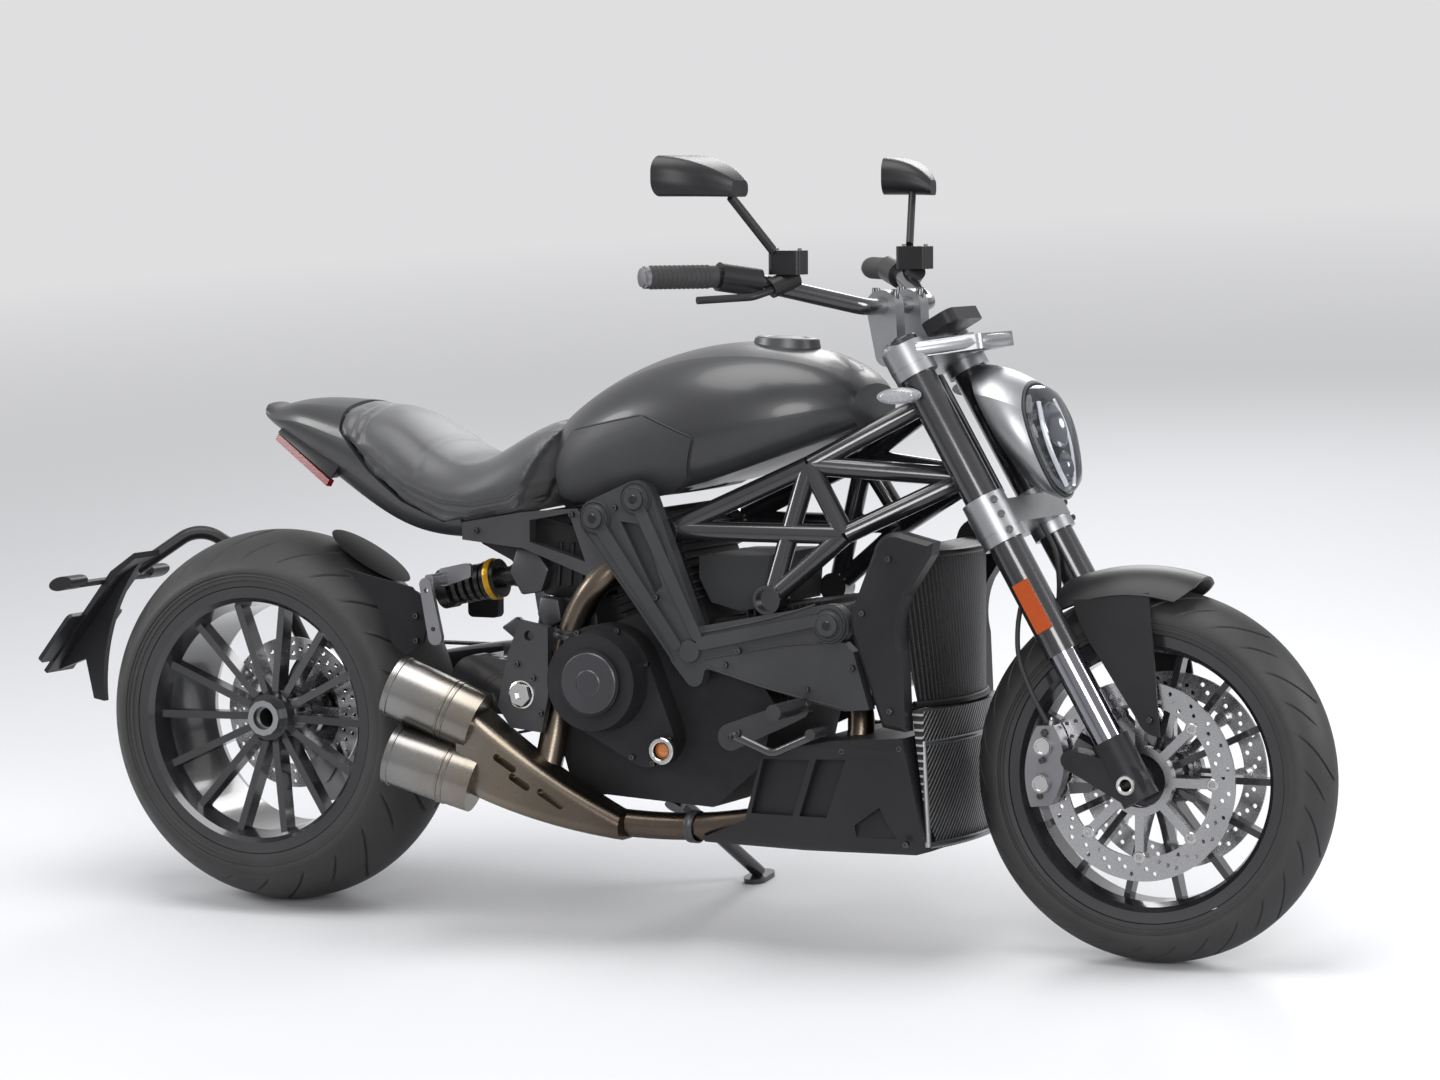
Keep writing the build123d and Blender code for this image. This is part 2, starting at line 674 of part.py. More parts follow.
# Plate holder: a slim arm from the swingarm's hub to a blade behind the tyre, which carries a blank
# plate and two indicators.
plate_arm = ((-34, 157, 392), (-130, 160, 560), (-236, 100, 640), (-318, 20, 566))
with BuildPart() as plate_holder:
    with BuildLine():
        run = FilletPolyline(*plate_arm, radius=60)
    with BuildSketch(Plane(origin=run @ 0, z_dir=run % 0)):
        Circle(12)
    sweep(path=run)
    with BuildSketch(Plane.XZ.offset(-42)):
        with BuildLine():
            Polyline(
                (-284, 600), (-334, 566), (-478, 384), (-472, 379), (-328, 556), (-282, 590),
                close=True,
            )
        make_face()
    extrude(amount=84)
    with BuildSketch(Plane.XZ.offset(-7)):
        with BuildLine():
            Polyline((-284, 594), (-330, 560), (-470, 382), (-412, 404), (-396, 334), (-374, 330))
            ThreePointArc((-374, 330), (-360, 460), (-284, 594))
        make_face()
    extrude(amount=14)
    with BuildSketch(Plane(origin=(-424, 0, 444), x_dir=(0, 1, 0), z_dir=(-0.78, 0, 0.62))):
        RectangleRounded(170, 108, 10)
    extrude(amount=8)
    for side in (-1, 1):
        with BuildSketch(Plane.XZ.offset(side * 62 - 48)):
            with Locations((-352, 548)):
                Circle(6)
        extrude(amount=96)
        with BuildSketch(Plane.XZ.offset(side * 132 - 26)):
            with Locations(Location((-362, 552), 14)):
                Ellipse(24, 12)
        extrude(amount=52)

# Rear caliper: two body halves over the disc on a bracket from the swingarm's hub.
with BuildPart() as rear_caliper:
    with BuildSketch(Plane.XZ.offset(-62)):
        with BuildLine():
            Line((24, 240), (58, 180))
            ThreePointArc((58, 180), (96, 178), (118, 208))
            Line((118, 208), (86, 274))
            ThreePointArc((86, 274), (60, 250), (24, 240))
        make_face()
    extrude(amount=60)
    with BuildSketch(Plane.XZ.offset(-2)):
        with Locations((72, 222)):
            Circle(17)
        with Locations((94, 246)):
            Circle(12)
        make_hull()
    extrude(amount=6)
    with BuildSketch(Plane.XZ.offset(-40)):
        with Locations(REAR_AXLE):
            Circle(REAR_DISC_R + 6)
            Circle(70, mode=Mode.SUBTRACT)
    extrude(amount=24, mode=Mode.SUBTRACT)
    with BuildSketch(Plane.XZ.offset(-97)):
        with Locations((40, 254)):
            Circle(20)
    extrude(amount=36)

# Forward controls: a bracket, footrest and pedal on each side.
with BuildPart() as controls:
    with BuildSketch(Plane.XZ.offset(190)):
        with Locations((960, 352)):
            Circle(22)
        with Locations((1084, 404)):
            Circle(16)
        make_hull()
    extrude(amount=16)
    with BuildSketch(Plane.XZ.offset(206)):
        with Locations((1084, 408)):
            Circle(13)
    extrude(amount=100)
    with BuildLine():
        run = FilletPolyline((960, -200, 356), (1040, -214, 330), (1134, -222, 372), radius=30)
    with BuildSketch(Plane(origin=run @ 0, z_dir=run % 0)):
        Circle(7)
    sweep(path=run)
    with BuildSketch(Plane.XZ.offset(216)):
        with Locations((1134, 372)):
            Circle(9)
    extrude(amount=60)
    mirror(about=Plane.XZ)
with BuildPart() as passenger_hangers:
    with BuildSketch(Plane.XZ.offset(192)):
        with Locations((394, 580)):
            Circle(11)
        with Locations((412, 492)):
            Circle(13)
        make_hull()
        with Locations((396, 570)):
            Circle(4, mode=Mode.SUBTRACT)
        with Locations((409, 506)):
            Circle(4, mode=Mode.SUBTRACT)
    extrude(amount=9)
    with BuildSketch(Plane.XZ.offset(136)):
        with Locations((398, 588)):
            RectangleRounded(18, 30, 6)
        with Locations((440, 600)):
            RectangleRounded(20, 24, 6)
        make_hull()
    extrude(amount=8)
    with BuildSketch(Plane.XZ.offset(142)):
        with Locations((398, 586)):
            RectangleRounded(16, 20, 5)
    extrude(amount=52)
    mirror(about=Plane.XZ)

# Front end. Heights along the stem start at the ground.
LOWER_YOKE, UPPER_YOKE = 774, 1076
legs = ((LEG_OFFSET, LEG_Y), (LEG_OFFSET, -LEG_Y))
with BuildPart() as lower_yoke:
    with BuildSketch(STEM.offset(LOWER_YOKE)):
        with Locations(*legs):
            Circle(37)
        with Locations((0, 0)):
            Circle(40)
        make_hull()
    extrude(amount=42)
    with BuildSketch(STEM.offset(LOWER_YOKE - 19)):
        with Locations(*legs):
            Circle(36)
    extrude(amount=80)
    with BuildSketch(STEM.offset(LOWER_YOKE - 30)):
        with Locations(*legs):
            Circle(TUBE_R + 0.1)
    extrude(amount=100, mode=Mode.SUBTRACT)
    with BuildSketch(STEM.offset(LOWER_YOKE + 42)):
        Circle(17)
    extrude(amount=UPPER_YOKE - LOWER_YOKE - 42)

# Upper yoke: clamps round both legs, and a nearly level bow that reaches forward to the headlamp.
YOKE_BOW = Plane(origin=(1226, 0, 964), x_dir=(0.988, 0, 0.155), z_dir=(-0.155, 0, 0.988))
bar_x, bar_z = 1166, 1046
with BuildPart() as upper_yoke:
    with BuildSketch(STEM.offset(UPPER_YOKE)):
        with Locations(*legs):
            Circle(37)
        with Locations((0, 0)):
            Circle(40)
        make_hull()
    extrude(amount=32)
    with BuildSketch(STEM.offset(UPPER_YOKE - 18)):
        with Locations(*legs):
            Circle(36)
    extrude(amount=54)
    with BuildSketch(YOKE_BOW.offset(-2)):
        with Locations((0, LEG_Y), (0, -LEG_Y)):
            Circle(32)
        with Locations((104, 62), (104, -62)):
            Circle(15)
        make_hull()
        with Locations((58, 0)):
            RectangleRounded(76, 92, 22, mode=Mode.SUBTRACT)
    extrude(amount=24)
    with BuildSketch(STEM.offset(UPPER_YOKE - 30)):
        with Locations(*legs):
            Circle(TUBE_R + 0.1)
    extrude(amount=100, mode=Mode.SUBTRACT)
    for y in (-50, 50):
        with BuildSketch(Plane.XZ.offset(-y - 17)):
            with Locations((bar_x, bar_z)):
                Circle(26)
            with Locations((1176, 968)):
                Circle(20)
            make_hull()
        extrude(amount=34)
    with BuildSketch(Plane.XZ.offset(-120)):
        with Locations((bar_x, bar_z)):
            Circle(BAR_R + 0.1)
    extrude(amount=240, mode=Mode.SUBTRACT)
with BuildPart() as fork_tubes:
    with BuildSketch(STEM.offset(AXLE_T + 233)):
        with Locations(*legs):
            Circle(TUBE_R)
            Circle(STANCHION_R + 0.2, mode=Mode.SUBTRACT)
    extrude(amount=UPPER_YOKE + 44 - AXLE_T - 233)
    with BuildSketch(STEM.offset(UPPER_YOKE + 34)):
        with Locations(*legs):
            Circle(TUBE_R)
    extrude(amount=10)
with BuildPart() as fork_stanchions:
    with BuildSketch(STEM.offset(AXLE_T + 36)):
        with Locations(*legs):
            Circle(STANCHION_R)
    extrude(amount=300)
with BuildPart() as fork_feet:
    for side in (-1, 1):
        with BuildSketch(STEM.offset(AXLE_T - 30)):
            with Locations((LEG_OFFSET, side * LEG_Y)):
                Circle(31)
        extrude(amount=107)
        with BuildSketch(Plane.XZ.offset(side * 110 - 22)):
            with Locations(FRONT_AXLE):
                Circle(30)
            with Locations((WHEELBASE - 96, FRONT_TYRE_R + 34)):
                Circle(16)
            make_hull()
        extrude(amount=44)
    with BuildSketch(STEM.offset(AXLE_T + 36)):
        with Locations(*legs):
            Circle(STANCHION_R + 0.1)
    extrude(amount=80, mode=Mode.SUBTRACT)
    with BuildSketch(Plane.XZ.offset(-150)):
        with Locations(FRONT_AXLE):
            Circle(16.1)
    extrude(amount=300, mode=Mode.SUBTRACT)
    with BuildSketch(Plane.XZ.offset(-81)):
        with Locations(FRONT_AXLE):
            Circle(170)
    extrude(amount=162, mode=Mode.SUBTRACT)
with BuildPart() as front_axle:
    with BuildSketch(Plane.XZ.offset(-138)):
        with Locations(FRONT_AXLE):
            Circle(16)
            Circle(10, mode=Mode.SUBTRACT)
    extrude(amount=276)

# Front calipers: radially bolted bodies with four piston caps each, held by the arm of the fork foot.
with BuildPart() as front_calipers:
    for side in (-1, 1):
        with BuildSketch(Plane.XZ.offset(side * 84 - 31)):
            with BuildLine():
                Line((1456, 384), (1484, 386))
                ThreePointArc((1484, 386), (1502, 322), (1478, 258))
                Line((1478, 258), (1446, 254))
                ThreePointArc((1446, 254), (1436, 318), (1456, 384))
            make_face()
        extrude(amount=62)
        with BuildSketch(Plane.XZ.offset(side * 117.5 - 2.5)):
            with Locations((1467, 352), (1464, 292)):
                Circle(16)
        extrude(amount=5)
    with BuildSketch(Plane.XZ.offset(-50)):
        with Locations(FRONT_AXLE):
            Circle(240)
    extrude(amount=100, mode=Mode.SUBTRACT)
    for side in (-1, 1):
        with BuildSketch(Plane.XZ.offset(side * FRONT_DISC_Y - 6)):
            with Locations(FRONT_AXLE):
                Circle(FRONT_DISC_R + 6)
        extrude(amount=12, mode=Mode.SUBTRACT)
    with BuildSketch(Plane.XZ.offset(-88)):
        with Locations(FRONT_AXLE):
            Circle(134.5)
    extrude(amount=176, mode=Mode.SUBTRACT)
    add(fork_feet.part, mode=Mode.SUBTRACT)

# Fender: an arched blade of even thickness over the tyre, with a leg down each side to the fork foot.
fender_centre = (WHEELBASE - 14, 0, FRONT_TYRE_R + 6)
FENDER_SECTION = Plane(origin=fender_centre, x_dir=(0, 1, 0), z_dir=(1, 0, 0))
with BuildPart() as front_fender:
    with BuildSketch(FENDER_SECTION):
        with BuildLine():
            ThreePointArc((-74, 288), (0, 330), (74, 288))
            Line((74, 288), (70, 285))
            ThreePointArc((70, 285), (0, 325), (-70, 285))
            Line((-70, 285), (-74, 288))
        make_face()
    revolve(axis=Axis(fender_centre, (0, 1, 0)))
    with BuildSketch(Plane.XZ.offset(-90)):
        with BuildLine():
            Line((1462, 560), (1476, 650))
            ThreePointArc((1476, 650), (1580, 680), (1706, 640))
            Line((1706, 640), (1694, 606))
            ThreePointArc((1694, 606), (1640, 570), (1580, 560))
            Line((1580, 560), (1462, 560))
        make_face()
    extrude(amount=180, mode=Mode.INTERSECT)
    for side in (-1, 1):
        leg = Plane(origin=(0, side * 70, 592), x_dir=(1, 0, 0), z_dir=(0, -0.995, -0.11 * side))
        with BuildSketch(leg.offset(-2.5)):
            with BuildLine():
                Line((1500, -10), (1628, 6))
                Line((1628, 6), (1656, -220))
                ThreePointArc((1656, -220), (1638, -216), (1618, -196))
                Line((1618, -196), (1544, -92))
                ThreePointArc((1544, -92), (1516, -50), (1500, -10))
            make_face()
        extrude(amount=5)
    add(fork_tubes.part, mode=Mode.SUBTRACT)
with BuildPart() as handlebar:
    with BuildLine():
        run = FilletPolyline(
            (926, -436, 1098), (1020, -320, 1098), (1166, -130, 1046), (1166, 130, 1046),
            (1020, 320, 1098), (926, 436, 1098), radius=60,
        )
    with BuildSketch(Plane(origin=run @ 0, z_dir=run % 0)):
        Circle(BAR_R)
    sweep(path=run)
with BuildPart() as grips:
    for side in (-1, 1):
        with BuildLine():
            run = Line((928, side * 434, 1098), (1003, side * 341, 1098))
        with BuildSketch(Plane(origin=run @ 0, z_dir=run % 0)):
            Circle(17.5)
        extrude(amount=run.length)
    add(handlebar.part, mode=Mode.SUBTRACT)
with BuildPart() as hand_controls:
    for side in (-1, 1):
        with BuildLine():
            run = Line((1006, side * 337, 1098), (1050, side * 283, 1088))
        with BuildSketch(Plane(origin=run @ 0, z_dir=run % 0)):
            Circle(23)
        extrude(amount=run.length)
        with BuildSketch(Plane(origin=(1088, side * 252, 1100), z_dir=(0, 0, 1))):
            RectangleRounded(56, 40, 8)
        extrude(amount=38)
        with BuildLine():
            run = FilletPolyline(
                (1076, side * 268, 1078), (1062, side * 330, 1066), (1004, side * 408, 1062), radius=40
            )
        with BuildSketch(Plane(origin=run @ 0, z_dir=run % 0)):
            Circle(6)
        sweep(path=run)
        with BuildLine():
            run = Line((1096, side * 240, 1096), (1068, side * 276, 1078))
        with BuildSketch(Plane(origin=run @ 0, z_dir=run % 0)):
            Circle(16)
        extrude(amount=run.length)
    add(handlebar.part, mode=Mode.SUBTRACT)

# Mirrors: a glass plane turned to the rider, in a housing that tapers forward and inward. Columns
# of the housing are its distance ahead of the glass, its shift inward and down, its width and height.
mirror_sections = ((0, 0, 0, 154, 64), (34, 10, 3, 132, 58), (84, 44, 20, 44, 26))
with BuildPart() as mirrors:
    for side in (-1, 1):
        with BuildLine():
            run = Line((1070, side * 272, 1139), (1040, side * 352, 1218))
        with BuildSketch(Plane(origin=run @ 0, z_dir=run % 0)):
            Ellipse(9, 6)
        extrude(amount=run.length + 8)
        ahead = (0.985, side * 0.17, 0)
        glass = Plane(origin=(976, side * 412, 1256), x_dir=(-0.17, side * 0.985, 0), z_dir=ahead)
        for forward, inward, drop, w, h in mirror_sections:
            centre = glass.from_local_coords(Vector(-inward, 0, forward)) - Vector(0, 0, drop)
            with BuildSketch(Plane(origin=centre, x_dir=glass.x_dir, z_dir=glass.z_dir)):
                RectangleRounded(w, h, 0.4 * h)
        loft()

# Headlamp: sections are closed by three arcs a side, wide at the brow and narrow at the chin.
def lamp_outline(plane, half_width, half_height):
    """The headlamp's outline on a plane, as a face."""
    w, h = half_width, half_height
    with BuildSketch(plane) as outline:
        with BuildLine():
            ThreePointArc((-0.93 * w, 0.55 * h), (0, h), (0.93 * w, 0.55 * h))
            ThreePointArc((0.93 * w, 0.55 * h), (0.92 * w, -0.2 * h), (0.5 * w, -0.86 * h))
            ThreePointArc((0.5 * w, -0.86 * h), (0, -h), (-0.5 * w, -0.86 * h))
            ThreePointArc((-0.5 * w, -0.86 * h), (-0.92 * w, -0.2 * h), (-0.93 * w, 0.55 * h))
        make_face()
    return outline.sketch


def lamp_plane(x, z, turn):
    """A plane across the headlamp, tipped back by a number of degrees."""
    c, d = math.cos(math.radians(turn)), math.sin(math.radians(turn))
    return Plane(origin=(x, 0, z), x_dir=(0, 1, 0), z_dir=(c, 0, d))


# Columns are x, z, backward tip in degrees, half width and half height.
shell_sections = ((1366, 852, 29, 90, 114), (1394, 846, 25, 97, 113), (1432, 832, 18, 86, 100))
with BuildPart() as headlamp_shell:
    for x, z, turn, w, h in shell_sections:
        add(lamp_outline(lamp_plane(x, z, turn), w, h))
    loft()
with BuildPart() as headlamp_lens:
    for x, z, w, h in ((1432.5, 831.9, 78, 92), (1460, 818, 60, 76)):
        add(lamp_outline(lamp_plane(x, z, 18), w, h))
    loft()
    add(headlamp_shell.part, mode=Mode.SUBTRACT)
with BuildPart() as dash:
    with BuildSketch(STEM.offset(UPPER_YOKE + 38)):
        with Locations((92, 0)):
            RectangleRounded(60, 130, 18)
    extrude(amount=22)
with BuildPart() as front_indicators:
    for side in (-1, 1):
        with BuildSketch(Plane.XZ.offset(side * 132 - 12)):
            with Locations((1250, 902)):
                Circle(7)
        extrude(amount=24)
        with BuildSketch(Plane.XZ.offset(side * 154 - 11)):
            with Locations(Location((1236, 906), 4)):
                Ellipse(34, 13)
        extrude(amount=22)
    add(fork_tubes.part, mode=Mode.SUBTRACT)
with BuildPart() as fork_reflectors:
    for side in (-1, 1):
        with BuildSketch(STEM.offset(AXLE_T + 275)):
            with Locations((LEG_OFFSET + 2, side * (LEG_Y + 31.5))):
                Rectangle(28, 5)
        extrude(amount=86)

# Brake hoses: one down each fork leg's inner side, from the lower yoke to the caliper. Each bend's
# radius takes most of the shorter of the two straight runs beside it.
hose_points = (
    (1394.4, 60, 691.3), (1418, 62, 650), (1420, 74, 600), (1412, 88, 545),
    (1416, 97, 490), (1440, 99, 435), (1467, 97, 387.6),
)
with BuildPart() as brake_hoses:
    for side in (-1, 1):
        points = [(x, side * y, z) for x, y, z in hose_points]
        radii = []
        for a, b, c in zip(points, points[1:], points[2:]):
            into, out = Vector(*b) - Vector(*a), Vector(*c) - Vector(*b)
            half_turn = math.radians(into.get_angle(out) / 2)
            radii.append(0.45 * min(into.length, out.length) / math.tan(half_turn))
        with BuildLine():
            run = FilletPolyline(*points, radius=radii)
        with BuildSketch(Plane(origin=run @ 0, z_dir=run % 0)):
            Circle(4)
        sweep(path=run)

# Side stand, deployed: a leg from the lower left of the engine to a foot on the ground. Its pivot
# pin lies on the axis that the leg folds about, back under the engine.
with BuildPart() as side_stand:
    with BuildLine():
        run = Line(stand_pivot, (stand_foot[0], stand_foot[1], stand_foot[2] + 12))
    with BuildSketch(Plane(origin=run @ 0, z_dir=run % 0)):
        Circle(12)
    extrude(amount=run.length)
    with BuildSketch(Plane(origin=Vector(*stand_pivot) - 18 * stand_axis, z_dir=stand_axis)):
        Circle(17)
    extrude(amount=36)
    with BuildSketch(Plane(origin=stand_foot, z_dir=(0, -lean_tan, 1))):
        SlotOverall(74, 40)
    extrude(amount=9)

pieces = {
    "rear_rim": rear_rim, "rear_tyre": rear_tyre, "rear_disc": rear_disc, "rear_pulley": rear_pulley,
    "front_rim": front_rim, "front_tyre": front_tyre, "front_discs": front_discs,
    "swingarm": swingarm, "drive_belt": drive_belt, "trellis_frame": trellis_frame,
    "engine_block": engine_block, "clutch_cover": clutch_cover, "alternator_cover": alternator_cover,
    "belt_covers": belt_covers, "airbox": airbox, "radiator": radiator,
    "radiator_shrouds": radiator_shrouds, "belly_pan": belly_pan, "mesh_grille": mesh_grille,
    "exhaust_system": exhaust_system, "fuel_tank": fuel_tank, "tank_side_panels": tank_side_panels,
    "fuel_cap": fuel_cap, "rider_seat": rider_seat, "tail_unit": tail_unit,
    "tail_lights": tail_lights, "frame_plates": frame_plates,
    "shock_absorber": shock_absorber, "rear_hugger": rear_hugger, "plate_holder": plate_holder,
    "rear_caliper": rear_caliper, "controls": controls, "passenger_hangers": passenger_hangers,
    "side_stand": side_stand, "lower_yoke": lower_yoke, "upper_yoke": upper_yoke,
    "fork_tubes": fork_tubes, "fork_stanchions": fork_stanchions, "fork_feet": fork_feet,
    "front_axle": front_axle, "front_calipers": front_calipers, "front_fender": front_fender,
    "handlebar": handlebar, "grips": grips, "hand_controls": hand_controls, "mirrors": mirrors,
    "headlamp_shell": headlamp_shell, "headlamp_lens": headlamp_lens, "dash": dash,
    "front_indicators": front_indicators, "fork_reflectors": fork_reflectors,
    "brake_hoses": brake_hoses,
}
PARK = Location(ORIGIN_SHIFT, (-LEAN, 0, 0))
os.makedirs("parts", exist_ok=True)
for name, piece in pieces.items():
    piece.part.label = name
    piece.part.move(PARK)
    export_step(piece.part, f"parts/{name}.step")
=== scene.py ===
import json
import math
import bmesh
import bpy
from mathutils import Matrix, Vector


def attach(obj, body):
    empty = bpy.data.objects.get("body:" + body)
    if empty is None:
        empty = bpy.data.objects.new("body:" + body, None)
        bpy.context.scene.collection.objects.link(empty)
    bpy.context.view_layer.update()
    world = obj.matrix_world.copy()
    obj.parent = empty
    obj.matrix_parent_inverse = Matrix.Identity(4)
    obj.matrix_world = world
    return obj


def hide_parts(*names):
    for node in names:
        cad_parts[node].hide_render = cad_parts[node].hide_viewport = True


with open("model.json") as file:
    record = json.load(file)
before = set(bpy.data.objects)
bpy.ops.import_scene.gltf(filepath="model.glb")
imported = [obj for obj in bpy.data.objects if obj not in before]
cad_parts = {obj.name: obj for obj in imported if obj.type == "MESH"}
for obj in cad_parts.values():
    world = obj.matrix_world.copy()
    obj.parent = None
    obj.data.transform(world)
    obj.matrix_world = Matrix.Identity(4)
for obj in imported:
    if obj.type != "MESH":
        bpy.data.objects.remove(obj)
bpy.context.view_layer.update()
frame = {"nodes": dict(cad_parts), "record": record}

# The machine's own axes. It leans to its left on its side stand, so its forward, left and up
# directions and the ground point under the rear axle come from the two wheel joints.
joints = {joint["name"]: joint for joint in frame["record"]["behaviour"]["joints"]}
REAR_TYRE_RADIUS = 0.324
forward = Vector((1, 0, 0))
left = Vector(joints["rear_wheel_spin"]["axis"]).normalized()
up = forward.cross(left)
rear_hub = Vector(joints["rear_wheel_spin"]["pos_m"])
front_hub = Vector(joints["front_wheel_spin"]["pos_m"])
ground = rear_hub - REAR_TYRE_RADIUS * up
bike = Matrix((forward, left, up)).transposed().to_4x4()
bike.translation = ground

# The camera, a long lens low on the machine's right side, turned as the photograph shows it.
CAMERA_PLACE = (4.119, -6.769, 1.236)
CAMERA_YAW, CAMERA_PITCH, CAMERA_ROLL = 25.82, -4.43, -0.26
LENS_MM, SENSOR_MM = 113.4, 36
FARTHEST_SEEN = 90
camera = bpy.data.objects.new("camera", bpy.data.cameras.new("camera"))
bpy.context.scene.collection.objects.link(camera)
camera.data.lens = LENS_MM
camera.data.sensor_width = SENSOR_MM
camera.data.clip_end = FARTHEST_SEEN
turn = Matrix.Rotation(math.radians(CAMERA_YAW), 4, "Z")
tilt = Matrix.Rotation(math.radians(90 + CAMERA_PITCH), 4, "X")
twist = Matrix.Rotation(math.radians(CAMERA_ROLL), 4, "Z")
camera.matrix_world = bike @ Matrix.Translation(CAMERA_PLACE) @ turn @ tilt @ twist
bpy.context.scene.camera = camera
bpy.context.scene.view_settings.view_transform = "Standard"

# A plain pale floor that fades into a surround of the same tone. The surround lights the machine
# softly from all round, and large lamps stand over it, beside it and behind it. Columns of the
# lamps are their place, what they are aimed at, their diameter in metres and their power in watts.
BACKDROP = (0.74, 0.74, 0.75, 1)
SKY_TINT, SKY_STRENGTH = (0.90, 0.93, 1.0, 1), 0.42
FLOOR_PAINT = (0.62, 0.62, 0.63, 1)
FLOOR_RADIUS, FADE_FROM, FADE_TO = 60, 1.6, 9.0
world = bpy.data.worlds.new("studio")
bpy.context.scene.world = world
world.use_nodes = True
sky = world.node_tree.nodes
sky_link = world.node_tree.links
seen = sky.new("ShaderNodeBackground")
seen.inputs["Color"].default_value = BACKDROP
lit = sky["Background"]
lit.inputs["Color"].default_value = SKY_TINT
lit.inputs["Strength"].default_value = SKY_STRENGTH
path = sky.new("ShaderNodeLightPath")
mix = sky.new("ShaderNodeMixShader")
seen_by = path.outputs["Is Camera Ray"]
for kind in ("Is Glossy Ray", "Is Transmission Ray"):
    either = sky.new("ShaderNodeMath")
    either.operation = "MAXIMUM"
    sky_link.new(seen_by, either.inputs[0])
    sky_link.new(path.outputs[kind], either.inputs[1])
    seen_by = either.outputs["Value"]
sky_link.new(seen_by, mix.inputs["Fac"])
sky_link.new(lit.outputs["Background"], mix.inputs[1])
sky_link.new(seen.outputs["Background"], mix.inputs[2])
sky_link.new(mix.outputs["Shader"], sky["World Output"].inputs["Surface"])
mesh = bpy.data.meshes.new("floor")
shape = bmesh.new()
bmesh.ops.create_circle(shape, cap_ends=True, segments=128, radius=FLOOR_RADIUS)
shape.to_mesh(mesh)
shape.free()
floor = bpy.data.objects.new("floor", mesh)
bpy.context.scene.collection.objects.link(floor)
paint = bpy.data.materials.new("pale_floor")
paint.use_nodes = True
nodes = paint.node_tree.nodes
links = paint.node_tree.links
nodes["Principled BSDF"].inputs["Base Color"].default_value = FLOOR_PAINT
nodes["Principled BSDF"].inputs["Roughness"].default_value = 0.55
far = nodes.new("ShaderNodeTexCoord")
ring = nodes.new("ShaderNodeVectorMath")
ring.operation = "LENGTH"
fade = nodes.new("ShaderNodeMapRange")
fade.inputs["From Min"].default_value = FADE_FROM
fade.inputs["From Max"].default_value = FADE_TO
flat = nodes.new("ShaderNodeEmission")
flat.inputs["Color"].default_value = BACKDROP
blend = nodes.new("ShaderNodeMixShader")
links.new(far.outputs["Object"], ring.inputs[0])
links.new(ring.outputs["Value"], fade.inputs["Value"])
rays = nodes.new("ShaderNodeLightPath")
only_seen = nodes.new("ShaderNodeMath")
only_seen.operation = "MULTIPLY"
links.new(rays.outputs["Is Camera Ray"], only_seen.inputs[0])
links.new(fade.outputs["Result"], only_seen.inputs[1])
links.new(only_seen.outputs["Value"], blend.inputs["Fac"])
links.new(nodes["Principled BSDF"].outputs["BSDF"], blend.inputs[1])
links.new(flat.outputs["Emission"], blend.inputs[2])
links.new(blend.outputs["Shader"], nodes["Material Output"].inputs["Surface"])
mesh.materials.append(paint)
for name, spot, aim, size, power in (
    ("overhead", (0.1, -0.5, 3.9), (0, 0, 0.4), 3.2, 135),
    ("camera_side", (2.6, -4.2, 2.2), (0.1, 0, 0.5), 2.0, 110),
    ("front", (4.2, 0.8, 1.9), (0.6, 0, 0.6), 1.5, 80),
    ("rear", (-3.6, -1.6, 2.2), (-0.4, 0, 0.6), 1.5, 70),
    ("far_side", (-0.6, 4.2, 2.6), (0, 0, 0.6), 2.2, 70),
):
    lamp = bpy.data.objects.new(name, bpy.data.lights.new(name, "AREA"))
    bpy.context.scene.collection.objects.link(lamp)
    lamp.data.shape = "DISK"
    lamp.data.size = size
    lamp.data.energy = power
    lamp.location = spot
    lamp.rotation_euler = (Vector(aim) - Vector(spot)).to_track_quat("-Z", "Y").to_euler()


# Wheel rims: cast alloy, powder coated in gloss black. The finish is a base colour that drifts by
# a noise, a roughness that drifts by a second one, and the fine orange peel of the coat.
BROAD_DRIFT, PEEL_DEPTH, COAT_ROUGH, ROUGH_SPREAD = 9, 0.0006, 0.08, 0.10


